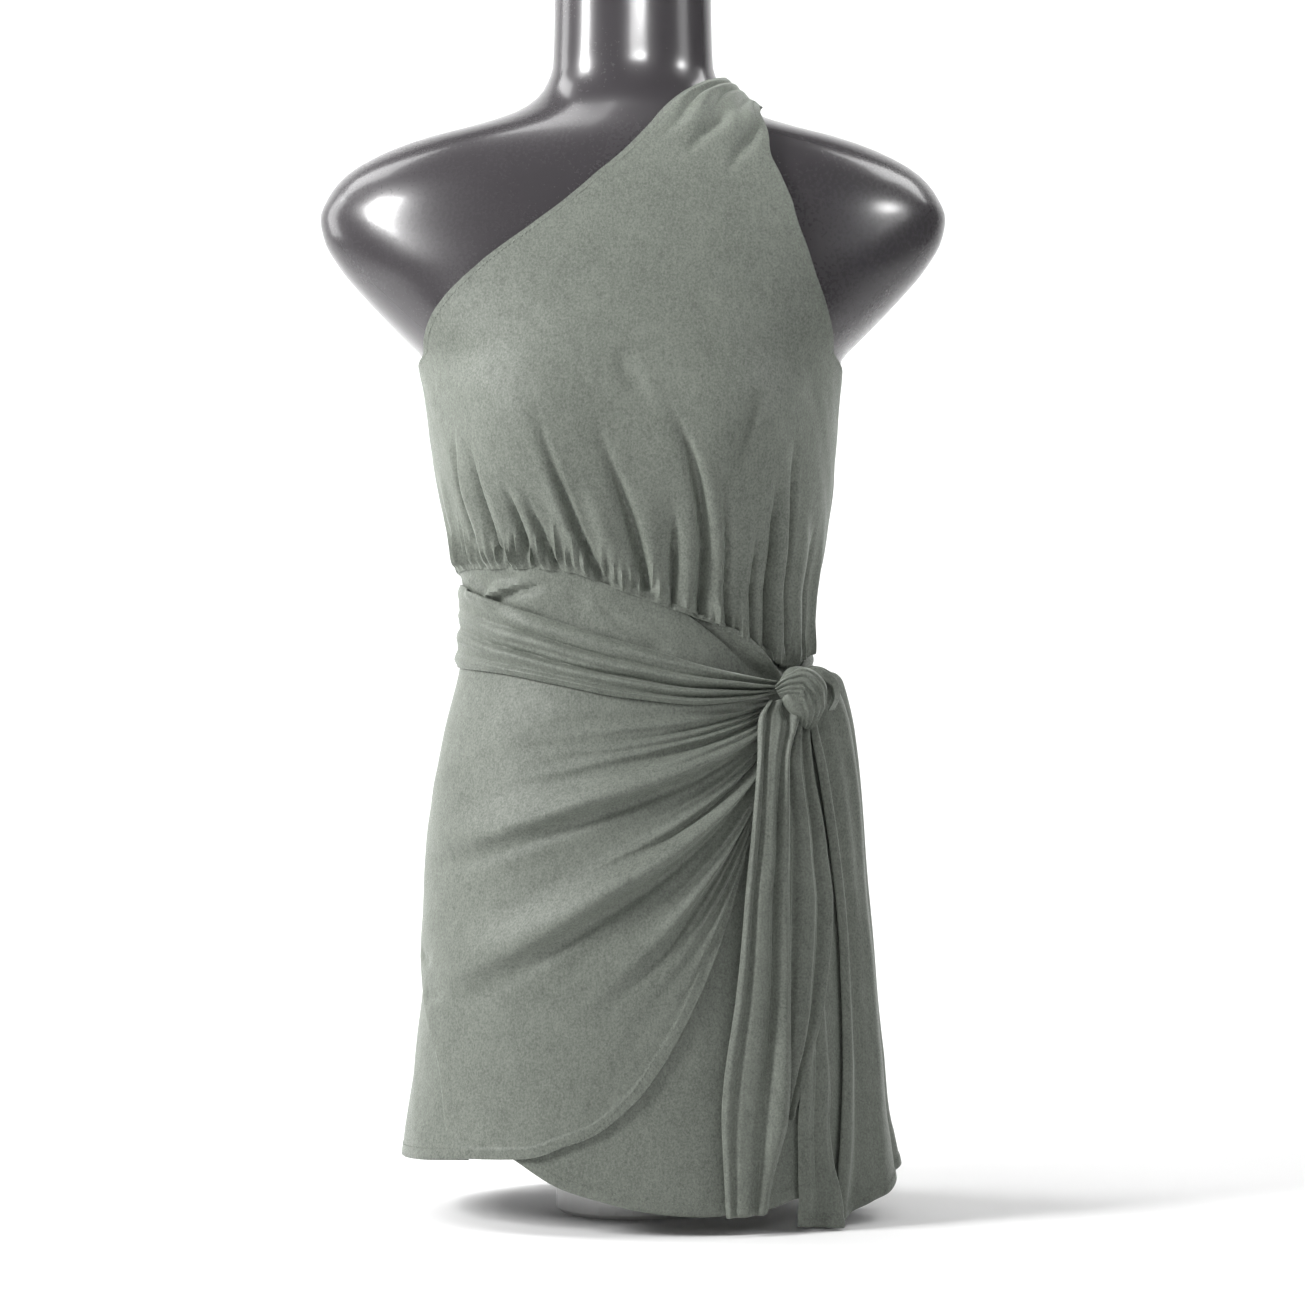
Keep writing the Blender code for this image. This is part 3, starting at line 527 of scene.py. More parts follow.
def add_stitches(line, normals):
    """Lay small spindles of thread along a line, half sunk in the cloth."""
    lengths = np.concatenate([[0], np.cumsum(np.linalg.norm(np.diff(line, axis=0), axis=1))])
    for place in np.arange(STITCH_PITCH, lengths[-1] - STITCH_PITCH, STITCH_PITCH):
        middle = at_length(place, lengths, line)
        ahead = at_length(place + LOOK_AHEAD, lengths, line) - middle
        ahead /= max(float(np.linalg.norm(ahead)), 1e-9)
        up = at_length(place, lengths, normals)
        up -= ahead * float(up @ ahead)
        up /= max(float(np.linalg.norm(up)), 1e-9)
        side = np.cross(ahead, up)
        start = len(stitch_points)
        for share, size, height in STITCH_RINGS:
            centre = middle + ahead * share * STITCH_LENGTH + up * height * STITCH_RADIUS
            for step in range(STITCH_SIDES):
                turn = 2 * math.pi * step / STITCH_SIDES
                offset = side * math.cos(turn) + up * math.sin(turn)
                stitch_points.append(centre + offset * size * STITCH_RADIUS)
        last_ring = len(STITCH_RINGS) - 1
        for ring in range(last_ring):
            for step in range(STITCH_SIDES):
                here = start + ring * STITCH_SIDES + step
                beside = start + ring * STITCH_SIDES + (step + 1) % STITCH_SIDES
                stitch_faces.append((here, beside, beside + STITCH_SIDES, here + STITCH_SIDES))
        stitch_faces.append(tuple(start + k for k in range(STITCH_SIDES))[::-1])
        stitch_faces.append(tuple(start + last_ring * STITCH_SIDES + k for k in range(STITCH_SIDES)))


def stitch_along(outer, side, distance, part=slice(None)):
    """Stitch a line at a distance in from one side of a panel's grid, or along part of it."""
    line = inset_line(outer, side, distance)
    normal = grid_normals(outer)
    edge = {
        "first_row": normal[0], "last_row": normal[-1],
        "first_column": normal[:, 0], "last_column": normal[:, -1],
    }[side]
    if float((edge * line * np.array([1, 1, 0])).sum()) < 0:
        edge = -edge
    add_stitches(line[part], edge[part])


print("stitch pitch, mm:", 1000 * STITCH_PITCH)

# %% [markdown]
# ## Cloth laid over cloth
# A wrap dress is a stack of layers. Each panel of the skirt and each length of the tie writes how
# far its outer side stands off the form into one shared chart of the body. A later layer reads
# the chart and never sinks below it, so it shows the ridges underneath, as real cloth does.

# %% The chart of the body
CHART_DEGREES, CHART_STEP, CHART_TOP = 0.5, 0.0015, 0.79
CHART_ANGLES = np.arange(-180.0, 180.0, CHART_DEGREES)
CHART_HEIGHTS = np.arange(0.0, CHART_TOP, CHART_STEP)
chart = np.zeros((len(CHART_ANGLES), len(CHART_HEIGHTS)))


def chart_place(angle, z):
    """Where a point falls in the chart."""
    column = (np.mod(np.asarray(angle, float) + 180, 360) / CHART_DEGREES) % len(CHART_ANGLES)
    row = np.clip(np.asarray(z, float) / CHART_STEP, 0, len(CHART_HEIGHTS) - 1)
    return column, row


def write_chart(angle, z, lift):
    """Raise the chart to a panel's outer side, also between its points."""
    points = np.stack([angle, z, lift])
    finer = [points, (points[:, 1:] + points[:, :-1]) / 2, (points[:, :, 1:] + points[:, :, :-1]) / 2]
    for angles, heights, lifts in finer:
        column, row = chart_place(angles, heights)
        for step_1 in (0, 1):
            for step_2 in (0, 1):
                at_column = (column.astype(int) + step_1) % len(CHART_ANGLES)
                at_row = np.clip(row.astype(int) + step_2, 0, len(CHART_HEIGHTS) - 1)
                np.maximum.at(chart, (at_column, at_row), lifts)


def read_chart(angle, z):
    """The chart's lift at each point, the highest of the cells around it."""
    column, row = chart_place(angle, z)
    highest = np.zeros(np.shape(angle))
    for step_1 in (-1, 0, 1, 2):
        for step_2 in (-1, 0, 1, 2):
            at_column = (column.astype(int) + step_1) % len(CHART_ANGLES)
            at_row = np.clip(row.astype(int) + step_2, 0, len(CHART_HEIGHTS) - 1)
            highest = np.maximum(highest, chart[at_column, at_row])
    return highest


def soft_max(one, other, softness=0.0006):
    """The larger of two lifts, with the corner between them rounded."""
    gap = one - other
    return (one + other + np.sqrt(gap * gap + softness * softness)) / 2


CLEAR = 0.0006


def spread_out(rise, reach):
    """Widen a rise and smooth it, first one way and then the other, nowhere below what it was."""
    for _ in range(2):
        length = len(rise)
        for combine in (np.max, np.mean):
            padded = np.pad(rise, ((reach, reach), (0, 0)), "edge")
            rise = combine([padded[k:k + length] for k in range(2 * reach + 1)], axis=0)
        rise = rise.T
    return rise


def laid(angle, z, lift, reach):
    """Lift of a panel's outer side once it rests on what the chart holds."""
    under = read_chart(angle, z)
    needed = np.maximum(under + CLOTH + CLEAR - lift, 0.0)
    return lift + spread_out(needed, reach)


def panel(name, angle, z, lift, hems, hem, charted=True):
    """Turn a panel's hems, make its wall, give it to the frame, and return its outer side."""
    outer = over_form(angle, z, lift)
    for side in hems:
        lift = lift + hem_relief(outer, inset_line(outer, side, 0.0), hem)
        outer = over_form(angle, z, lift)
    if charted:
        write_chart(angle, z, lift)
    thing = cloth_wall("cloth_" + name, outer)
    for side in hems:
        stitch_along(outer, side, hem)
    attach(thing, "root")
    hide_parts(name)
    print(name, "has", len(thing.data.polygons), "faces and an area of",
          round(sum(p.area for p in thing.data.polygons) / 2, 4))
    return outer


def wobble(value, seed):
    """A slow, uneven wave between about -1 and 1."""
    return (
        np.sin(value * 1.0 + seed) * 0.5
        + np.sin(value * 2.3 + seed * 1.7) * 0.3
        + np.sin(value * 4.1 + seed * 2.9) * 0.2
    )


print("chart cells:", chart.size)

# %% [markdown]
# ## The torso
# The shape is already known from the rings, so a fine grid of rings makes it smooth. The lower
# end and the neck's top are rounded over. It goes all the way down inside the skirt.

# %% The dress form
TORSO_BOTTOM, NECK_TOP = 0.058, 0.832


def rounded_end(ring, middle, depth, way, rounding=0.012):
    """Rings that roll an open end over and close it."""
    rings = []
    for step in (0.2, 0.4, 0.6, 0.8, 1.0):
        turn = step * math.pi / 2
        inward = rounding * (1 - math.cos(turn))
        radius = np.linalg.norm(ring[:, :2] - middle[:2], axis=1, keepdims=True)
        moved = ring.copy()
        moved[:, :2] = middle[:2] + (ring[:, :2] - middle[:2]) * (radius - inward) / radius
        moved[:, 2] = ring[0, 2] + way * depth * math.sin(turn)
        rings.append(moved)
    last = rings[-1].copy()
    for share in (0.8, 0.5, 0.2):
        flat_ring = last.copy()
        flat_ring[:, :2] = middle[:2] + (last[:, :2] - middle[:2]) * share
        rings.append(flat_ring)
    return rings


def closed_stack(name, rings, paint):
    """A closed solid from a stack of rings."""
    count = len(rings[0])
    points = np.concatenate(rings)
    faces = []
    for level in range(len(rings) - 1):
        here = level * count + np.arange(count)
        there = level * count + np.roll(np.arange(count), -1)
        faces += np.stack([here, there, there + count, here + count], axis=-1).tolist()
    faces.append(list(range(count))[::-1])
    faces.append([(len(rings) - 1) * count + k for k in range(count)])
    return make_mesh(name, points, faces, paint, 40)


turns = np.linspace(-180, 180, 150, endpoint=False)
ring_heights = np.linspace(TORSO_BOTTOM, NECK_TOP, 150)
body_rings = [form_point(turns, np.full_like(turns, z)) for z in ring_heights]
bottom = rounded_end(body_rings[0], body_rings[0].mean(axis=0), 0.0078, -1)
top = rounded_end(body_rings[-1], body_rings[-1].mean(axis=0), 0.0058, 1, 0.008)
body = closed_stack("dress_form_fine", bottom[::-1] + body_rings + top, form_paint)
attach(body, "root")
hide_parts("dress_form")
print("torso faces:", len(body.data.polygons))

# %% [markdown]
# ## The bodice
# The front is cut in one piece that narrows to the strap. Its lower edge is far longer than
# the waist, and is drawn up on the seam into gathers that fan up and towards the wearer's
# right. Rows of the table give each main fold: where it starts, bends and ends, and how high.

# %% Bodice tables
BODICE_FRONT = (
    (0.000, -90.0, 0.4335, 90.0, 0.3920),
    (0.200, -90.0, 0.4800, 90.0, 0.4550),
    (0.380, -90.0, 0.5250, 90.0, 0.5150),
    (0.470, -90.0, 0.5540, 89.9, 0.5460),
    (0.515, -83.0, 0.5690, 84.0, 0.5640),
    (0.560, -66.0, 0.5830, 64.0, 0.5800),
    (0.630, -41.0, 0.6160, 45.5, 0.6095),
    (0.710, -26.0, 0.6420, 35.0, 0.6400),
    (0.790, -14.0, 0.6700, 29.8, 0.6720),
    (0.870, -3.5, 0.7030, 28.4, 0.7030),
    (0.925, 8.0, 0.7330, 36.0, 0.7250),
    (0.960, 26.0, 0.7490, 47.0, 0.7340),
    (0.982, 55.0, 0.7615, 68.0, 0.7410),
    (1.000, 89.8, 0.7670, 89.8, 0.7430),
)
BODICE_BACK = (
    (0.000, 270.0, 0.4335, 90.0, 0.3920),
    (0.300, 270.0, 0.5000, 90.0, 0.4900),
    (0.440, 270.0, 0.5540, 90.1, 0.5460),
    (0.510, 261.0, 0.5690, 98.0, 0.5640),
    (0.600, 228.0, 0.6100, 128.0, 0.6060),
    (0.700, 206.0, 0.6500, 145.0, 0.6450),
    (0.800, 187.0, 0.6900, 153.5, 0.6850),
    (0.880, 171.0, 0.7220, 151.5, 0.7120),
    (0.940, 150.0, 0.7430, 138.5, 0.7310),
    (0.975, 120.0, 0.7590, 115.0, 0.7420),
    (1.000, 90.2, 0.7670, 90.2, 0.7430),
)
# Folds of the front, from the seam up: start, middle and end (angle, z), rise, half width, lean
BODICE_FOLDS = (
    (-80, 0.436, -79, 0.462, -79, 0.492, 0.0016, 0.0030, 0.4),
    (-70, 0.437, -71, 0.470, -72, 0.510, 0.0022, 0.0036, 0.4),
    (-55, 0.437, -58, 0.488, -56, 0.530, -0.0026, 0.0026, 0.6),
    (-50, 0.437, -54, 0.478, -58, 0.518, 0.0026, 0.0034, -0.4),
    (-42, 0.437, -47, 0.480, -50, 0.530, -0.0028, 0.0026, 0.6),
    (-37, 0.437, -41, 0.470, -46, 0.510, 0.0026, 0.0034, -0.5),
    (-31, 0.437, -34, 0.468, -38, 0.496, -0.0028, 0.0024, 0.6),
    (-26, 0.436, -30, 0.466, -35, 0.500, 0.0026, 0.0032, -0.5),
    (-22, 0.434, -26, 0.458, -31, 0.494, -0.0026, 0.0024, 0.6),
    (-13, 0.431, -18, 0.470, -26, 0.520, 0.0034, 0.0040, -0.5),
    (-8, 0.428, -15, 0.466, -26, 0.548, -0.0040, 0.0030, 0.6),
    (-2, 0.424, -7, 0.462, -13, 0.512, 0.0028, 0.0036, -0.5),
    (5, 0.420, 0, 0.468, -9, 0.538, -0.0034, 0.0028, 0.6),
    (8, 0.416, 5, 0.452, 2, 0.500, 0.0026, 0.0032, -0.4),
    (12, 0.412, 12, 0.444, 10, 0.484, -0.0032, 0.0024, 0.5),
    (16, 0.410, 16, 0.448, 13, 0.490, 0.0030, 0.0034, -0.4),
    (21, 0.406, 19, 0.478, 5, 0.552, -0.0042, 0.0030, 0.6),
    (26, 0.402, 25, 0.462, 15, 0.522, 0.0034, 0.0042, -0.5),
    (31, 0.398, 28, 0.456, 22, 0.510, -0.0026, 0.0026, 0.5),
    (36, 0.394, 36, 0.438, 33, 0.488, 0.0028, 0.0034, -0.3),
    (41, 0.390, 40, 0.430, 38, 0.474, -0.0030, 0.0024, 0.5),
    (47, 0.384, 47, 0.440, 43, 0.512, -0.0044, 0.0028, 0.6),
    (51, 0.381, 51, 0.440, 48, 0.506, 0.0036, 0.0040, -0.5),
    (56, 0.380, 54, 0.460, 49, 0.530, -0.0042, 0.0028, 0.6),
    (62, 0.381, 61, 0.440, 58, 0.500, 0.0032, 0.0038, -0.4),
    (68, 0.382, 68, 0.425, 67, 0.470, -0.0034, 0.0026, 0.5),
    (75, 0.385, 76, 0.430, 75, 0.480, 0.0028, 0.0036, -0.4),
    (82, 0.389, 83, 0.425, 84, 0.462, -0.0028, 0.0028, 0.4),
    (-2, 0.572, 0, 0.556, 3, 0.534, -0.0012, 0.0040, 0.2),
    (32, 0.544, 29, 0.516, 23, 0.480, -0.0020, 0.0036, 0.5),
    (-62, 0.560, -40, 0.556, -20, 0.572, 0.0012, 0.0070, 0.0),
    (50, 0.560, 40, 0.530, 30, 0.516, 0.0014, 0.0060, 0.3),
)
# Gathers below the shoulder seam: start, middle and end (angle, z), rise, half width, lean
SHOULDER_FOLDS = (
    (74, 0.764, 30, 0.746, 4, 0.712, -0.0018, 0.0026, 0.4),
    (72, 0.757, 26, 0.738, 8, 0.708, 0.0020, 0.0030, -0.4),
    (70, 0.752, 24, 0.728, 12, 0.700, -0.0020, 0.0024, 0.4),
    (68, 0.748, 30, 0.728, 16, 0.700, 0.0018, 0.0028, -0.3),
    (60, 0.742, 28, 0.718, 18, 0.686, -0.0018, 0.0024, 0.4),
    (58, 0.738, 36, 0.724, 25, 0.694, 0.0014, 0.0026, -0.3),
)


# Metres along the cloth for one degree round the body, near enough to keep a fold's slant
METRES_A_DEGREE = 0.0021
FOLD_STEPS = 25
# Ridges are broad and low and troughs narrow and deep: how much the rows' values are scaled
RIDGE_HIGHER, RIDGE_WIDER = 1.20, 1.75
TROUGH_DEEPER, TROUGH_WIDER = 2.00, 0.95
LEAN_KEPT = 0.6


def curve_folds(angle, z, rows):
    """Rise of folds given by three places on the body."""
    rise = np.zeros_like(angle)
    for row in rows:
        spots = np.array(row[:6]).reshape(3, 2) * np.array([METRES_A_DEGREE, 1.0])
        crest, width, lean = row[6:]
        width = width * (RIDGE_WIDER if crest > 0 else TROUGH_WIDER)
        crest = crest * (RIDGE_HIGHER if crest > 0 else TROUGH_DEEPER)
        lean = LEAN_KEPT * lean
        t = np.linspace(0, 1, FOLD_STEPS)[:, None]
        bend = 2 * spots[1] - (spots[0] + spots[2]) / 2
        path = spots[0] * (1 - t) ** 2 + bend * 2 * t * (1 - t) + spots[2] * t ** 2
        here = np.stack([angle * METRES_A_DEGREE, z], axis=-1).reshape(-1, 2)
        near = np.abs(here - path.mean(axis=0)).max(axis=1) < np.ptp(path, axis=0).max() / 2 + 4 * width
        if not near.any():
            continue
        part = here[near]
        gap = part[:, None] - path[None]
        nearest = (gap ** 2).sum(-1).argmin(1)
        before = np.clip(nearest - 1, 0, FOLD_STEPS - 1)
        after = np.clip(nearest + 1, 0, FOLD_STEPS - 1)
        run = path[after] - path[before]
        run /= np.linalg.norm(run, axis=1, keepdims=True)
        offset = part - path[nearest]
        off = offset[:, 0] * run[:, 1] - offset[:, 1] * run[:, 0]
        ahead = (offset * run).sum(1)
        length = np.linalg.norm(np.diff(path, axis=0), axis=1).sum()
        share = nearest / (FOLD_STEPS - 1) + ahead / length
        fade = (0.4 + 0.6 * ease_in(share / 0.14)) * ease_in((share + 0.10) / 0.10)
        fade = fade * (1 - ease_in((share - 0.5) / 0.5))
        extra = np.zeros(len(here))
        extra[near] = crest * fade * rolled(off / width, lean)
        rise += extra.reshape(angle.shape)
    return rise


def seam_gathers(angle, z, pitch, reach, crest, seed):
    """Small gathers at the waist seam, uneven in spacing, reach and rise."""
    height = z - waist(angle)
    phase = angle / pitch * 2 * math.pi + 1.6 * wobble(angle * 0.21, seed)
    longer = reach * (1 + 0.5 * wobble(angle * 0.9, seed + 2))
    wave = np.cos(phase + 0.8 * wobble(height * 60, seed)) * 0.5 + 0.5
    fade = (0.3 + 0.7 * ease_in(height / 0.006)) * (1 - ease_in((height - 0.2 * longer) / longer))
    size = crest * (1 + 0.4 * wobble(angle * 1.3, seed + 5))
    return size * wave * fade


print("main folds of the front:", len(BODICE_FOLDS), "and of the strap:", len(SHOULDER_FOLDS))

# %% [markdown]
# ## From tables to bodice panels
# Shares run from the waist seam (0) to the shoulder seam (1), and the side seams meet the other
# panel within a fraction of a millimetre. On the knot's side the front is longer than the body,
# so it sags: its lowest part hangs below the seam that holds it, which hides the seam.

# %% Front and back of the bodice
def bodice_grid(edges, shares, columns):
    """Angles and heights of a bodice panel."""
    share, across = np.meshgrid(shares, np.linspace(0, 1, columns), indexing="ij")
    neck_angle, neck_z, arm_angle, arm_z = np.moveaxis(smooth(edges, share), -1, 0)
    angle = neck_angle + (arm_angle - neck_angle) * across
    z = neck_z + (arm_z - neck_z) * across
    straight = edges[0][2] + (edges[0][4] - edges[0][2]) * across
    z = z + (waist(angle) - straight - 0.0012) * (1 - ease_in(share / 0.5))
    return share, across, angle, z


def from_edges(across, reach=0.14):
    """0 at the two long edges of the strap and 1 between them, so that the edges run smooth."""
    return ease_in(across / reach) * ease_in((1 - across) / reach)


def strap_gathers(share, across):
    """Gathers at the shoulder seam, the same on both panels."""
    rise = np.zeros_like(share)
    for place, crest, width in (
        (0.10, 0.0016, 0.06), (0.24, -0.0014, 0.04), (0.38, 0.0022, 0.07), (0.53, -0.0016, 0.04),
        (0.66, 0.0022, 0.07), (0.80, -0.0014, 0.04), (0.91, 0.0016, 0.06),
    ):
        rise += crest * bump((across - place) / width)
    rise = rise * ease_in((share - 0.90) / 0.07) * (1 - 0.8 * ease_in((share - 0.968) / 0.030))
    return rise * from_edges(across)


def bodice_base(share, across, angle, z):
    """Lift of a bodice panel before its folds."""
    lift = REST + 0.0012 * ease_in(share * 3) + CLOTH
    lift = lift + 0.0018 * bump((z - 0.588) / 0.024) * np.sin(np.radians(angle)) ** 2
    lift = lift + round_body(BLOUSE, angle, z - waist(angle))
    strap = ease_in((share - 0.82) / 0.18)
    return lift + 0.0064 * strap * (0.5 + 0.5 * np.sin(np.pi * across))


def slow_waves(share, angle, z, seed):
    """The long, low unevenness of worn cloth, away from both seams."""
    waves = 0.0005 * wobble(angle * 0.16 + z * 45, seed)
    return waves * ease_in(share * 4) * (1 - ease_in((share - 0.85) / 0.1))


share, across, angle, z = bodice_grid(BODICE_FRONT, np.linspace(0, 1, 190), 250)
lift = bodice_base(share, across, angle, z)
lift = lift + curve_folds(angle, z, BODICE_FOLDS) + strap_gathers(share, across)
below_strap = 1 - ease_in((share - 0.93) / 0.05)
lift = lift + curve_folds(angle, z, SHOULDER_FOLDS) * below_strap * from_edges(across)
lift = lift + seam_gathers(angle, z, 2.7, 0.026, 0.0034, 0.4) + slow_waves(share, angle, z, 1.1)
lift = soft_max(lift, REST + CLOTH)
# How far the front sags over its seam, and the heights above it where that is full and gone
DROOP, DROOP_FULL, DROOP_FADES = 0.0190, 0.012, 0.080
height = z - waist(angle)
over_seam = ease_in(height / DROOP_FULL) * (1 - ease_in((height - DROOP_FULL) / DROOP_FADES))
z = z - DROOP * over_seam * ease_in((angle + 20) / 80) * (1 - 0.8 * ease_in((angle - 76) / 13))
front_outer = panel(
    "bodice_front", angle, z, lift, (), 0.0, False,
)

BACK_FOLDS = 24
BACK_FOLDS_START, BACK_FOLDS_SPAN = 98, 164
back_folds = []
for number in range(BACK_FOLDS):
    start = BACK_FOLDS_START + number * BACK_FOLDS_SPAN / (BACK_FOLDS - 1) + 1.2 * math.sin(2.4 * number)
    side = 3.0 * math.cos(1.7 * number)
    reach = 0.055 * (1 + 0.5 * math.sin(1.3 * number + 1))
    seam_z = float(waist(start))
    crest = (0.0028 if number % 2 else -0.0026) * (1 + 0.3 * math.sin(2.1 * number))
    back_folds.append((start, seam_z, start + 0.5 * side, seam_z + 0.5 * reach,
                       start + side, seam_z + reach, crest, 0.0034, 0.4))
share, across, angle, z = bodice_grid(BODICE_BACK, np.linspace(0, 1, 130), 160)
lift = bodice_base(share, across, angle, z) + curve_folds(angle, z, back_folds)
lift = lift + strap_gathers(share, across)
lift = lift + seam_gathers(angle, z, 3.1, 0.020, 0.0022, 2.2) + slow_waves(share, angle, z, 3.1)
lift = soft_max(lift, REST + CLOTH)
panel(
    "bodice_back", angle, z, lift, (), 0.0, False,
)

# %% [markdown]
# ## The skirt's back and under panel
# Both hang from the waist seam and swing clear of the body towards the hem. Long soft flutes
# start below the hip and deepen on the way down, because a jersey hem is wider than the hip.

# %% Skirt back and under panel
RIGHT_SIDE_SEAM = (
    (0.000, -40), (0.048, -48.5), (0.080, -54), (0.112, -60), (0.144, -71.5), (0.164, -80),
    (0.195, -88), (0.440, -90),
)
BACK_HEM = ((90, 0.0340), (135, 0.0360), (180, 0.0380), (240, 0.0390), (270, 0.0405), (312, 0.0475))
UNDER_EDGE = ((0.0, -60), (0.45, -54), (0.75, -44), (0.90, -37), (1.0, -32))
UNDER_HEM = (
    (-32, 0.0500), (-18.5, 0.0320), (-7.5, 0.0240), (4, 0.0170), (17, 0.0140), (37, 0.0180),
    (45, 0.0230), (72, 0.0270), (90, 0.0340),
)
HEM_DEPTH = 0.0080
# Angle of the side seam on the knot's side, half its gap, and the gap below the waist seam
SIDE_SEAM, HALF_SEAM_GAP, WAIST_GAP = 90, 0.1, 0.0004
FLUTES_START = 0.30
# Rolls that run into the knot: start, middle, end (angle, z), rise, half width, lean
UNDER_ROLLS = (
    (26, 0.4040, 44, 0.3760, 64, 0.3400, 0.0088, 0.0030, 0.5),
    (74, 0.3880, 66, 0.3790, 56, 0.3560, 0.0036, 0.0024, -0.5),
)


def flutes(angle, z, hem, count, crest, seed):
    """Soft flutes that deepen towards the hem."""
    down = ease_in((FLUTES_START - z) / (FLUTES_START - hem))
    phase = np.radians(angle) * count + 1.3 * wobble(angle * 0.03, seed) + 2.0 * (z - 0.2)
    return crest * down * (0.5 + 0.5 * np.cos(phase)) * (1 + 0.3 * wobble(angle * 0.05, seed + 1))


share, across = np.meshgrid(np.linspace(0, 1, 110), np.linspace(0, 1, 140), indexing="ij")
angle = np.zeros_like(share)
z = np.zeros_like(share)
for _ in range(4):
    far = 360 + smooth(RIGHT_SIDE_SEAM, z[:, -1:])[..., 0] + 2.0
    angle = SIDE_SEAM + HALF_SEAM_GAP + (far - SIDE_SEAM - HALF_SEAM_GAP) * across
    top_z = waist(np.minimum(angle, 272)) - WAIST_GAP
    hem_z = smooth(BACK_HEM, angle)[..., 0]
    z = top_z + (hem_z - top_z) * share
lift = ease(angle, z) + CLOTH + flutes(angle, z, 0.034, 7, 0.0034, 0.7) * np.sin(np.pi * across)
lift = lift + 0.0006 * wobble(angle * 0.12 + z * 40, 2.0) * ease_in(share * 3)
lift = soft_max(lift, REST + CLOTH)
panel("skirt_back", angle, z, lift, ("last_row",), HEM_DEPTH)

share, across = np.meshgrid(np.linspace(0, 1, 120), np.linspace(0, 1, 140), indexing="ij")
near = smooth(UNDER_EDGE, share)[..., 0]
angle = near + (SIDE_SEAM - HALF_SEAM_GAP - near) * across
top_z = waist(angle) - WAIST_GAP
hem_z = smooth(UNDER_HEM, angle)[..., 0]
z = top_z + (hem_z - top_z) * share
lift = ease(angle, z) + CLOTH + flutes(angle, z, 0.02, 5, 0.0016, 1.9) * np.sin(np.pi * across)
lift = lift + curve_folds(angle, z, UNDER_ROLLS)
lift = soft_max(lift, REST + CLOTH)
panel("skirt_under", angle, z, lift, ("last_row",), HEM_DEPTH)

# %% [markdown]
# ## The wrap panel
# The front wraps from the wearer's right and is pulled up to the tie on the left hip. Every
# thread runs towards the tie, so the grid is made of rays to it and the folds follow the rays:
# they are broad and soft at the free end and close up near the tie.

# %% The wrap panel
WRAP_RAYS = (
    (-88.0, 0.4310, 46.0, 0.3560, -0.0460),
    (-88.0, 0.3850, 46.0, 0.3510, -0.0130),
    (-88.0, 0.3220, 46.0, 0.3440, 0.0070),
    (-88.0, 0.2840, 46.0, 0.3380, 0.0095),
    (-88.0, 0.2440, 46.0, 0.3310, 0.0210),
    (-88.0, 0.1930, 45.0, 0.3220, 0.0330),
    (-76.0, 0.1540, 44.0, 0.3130, 0.0350),
    (-60.5, 0.1100, 42.5, 0.3060, 0.0430),
    (-48.5, 0.0490, 41.0, 0.3000, 0.0380),
    (-28.0, 0.0510, 39.5, 0.2940, 0.0380),
    (-13.5, 0.0630, 38.0, 0.2900, 0.0450),
)
# Folds of the wrap: ray, rise, half width in rays, share where it is highest, share where
# it starts, lean, bow
WRAP_FOLDS = (
    (1.75, 0.0016, 0.12, 0.80, 0.30, 0.4, 0.04),
    (2.15, 0.0026, 0.13, 0.84, 0.35, 0.5, 0.05),
    (2.42, -0.0016, 0.06, 0.88, 0.50, 0.3, 0.00),
    (2.62, 0.0028, 0.13, 0.86, 0.42, 0.5, -0.05),
    (3.05, 0.0034, 0.15, 0.84, 0.30, 0.5, 0.05),
    (3.26, -0.0014, 0.06, 0.90, 0.55, 0.3, 0.00),
    (3.47, 0.0026, 0.12, 0.88, 0.50, 0.4, 0.00),
    (3.86, 0.0104, 0.26, 0.66, 0.00, 0.80, 0.05),
    (4.16, -0.0030, 0.11, 0.62, 0.02, 0.0, 0.04),
    (4.56, 0.0024, 0.12, 0.90, 0.55, 0.4, 0.00),
    (4.98, 0.0040, 0.18, 0.86, 0.46, 0.6, 0.05),
    (5.22, -0.0016, 0.09, 0.88, 0.55, 0.0, 0.02),
    (5.82, 0.0118, 0.34, 0.62, 0.02, 0.80, 0.07),
    (6.20, -0.0030, 0.14, 0.60, 0.04, 0.0, 0.06),
    (6.62, 0.0030, 0.18, 0.90, 0.55, 0.4, 0.00),
    (7.22, 0.0060, 0.32, 0.78, 0.34, 0.75, 0.08),
    (7.58, -0.0020, 0.13, 0.82, 0.42, 0.0, 0.05),
    (8.30, 0.0034, 0.26, 0.88, 0.50, 0.4, 0.00),
    (9.15, 0.0028, 0.24, 0.86, 0.52, 0.5, 0.05),
)
# Small creases of the wrap in angle and z: start, middle, end, rise, half width, lean
WRAP_CREASES = (
    (-66, 0.431, -61, 0.422, -55, 0.412, 0.0046, 0.0022, -0.5),
    (-56, 0.415, -47, 0.4215, -33, 0.4240, 0.0050, 0.0024, -0.5),
    (-30, 0.423, -41, 0.420, -51, 0.413, -0.0022, 0.0030, 0.3),
    (-55, 0.416, -50, 0.4125, -46, 0.411, -0.0024, 0.0026, 0.0),
    (-44, 0.411, -30, 0.413, -16, 0.412, 0.0016, 0.0040, 0.0),
    (-14, 0.417, -2, 0.397, 9.5, 0.380, 0.0018, 0.0050, 0.4),
    (8, 0.382, 22, 0.367, 38, 0.357, 0.0020, 0.0044, 0.4),
    (-10, 0.409, 2, 0.389, 14, 0.371, -0.0014, 0.0034, 0.4),
    (-80, 0.176, -74, 0.172, -66, 0.176, -0.0012, 0.0050, 0.2),
    (-72, 0.150, -66, 0.150, -58, 0.156, -0.0010, 0.0044, 0.2),
)

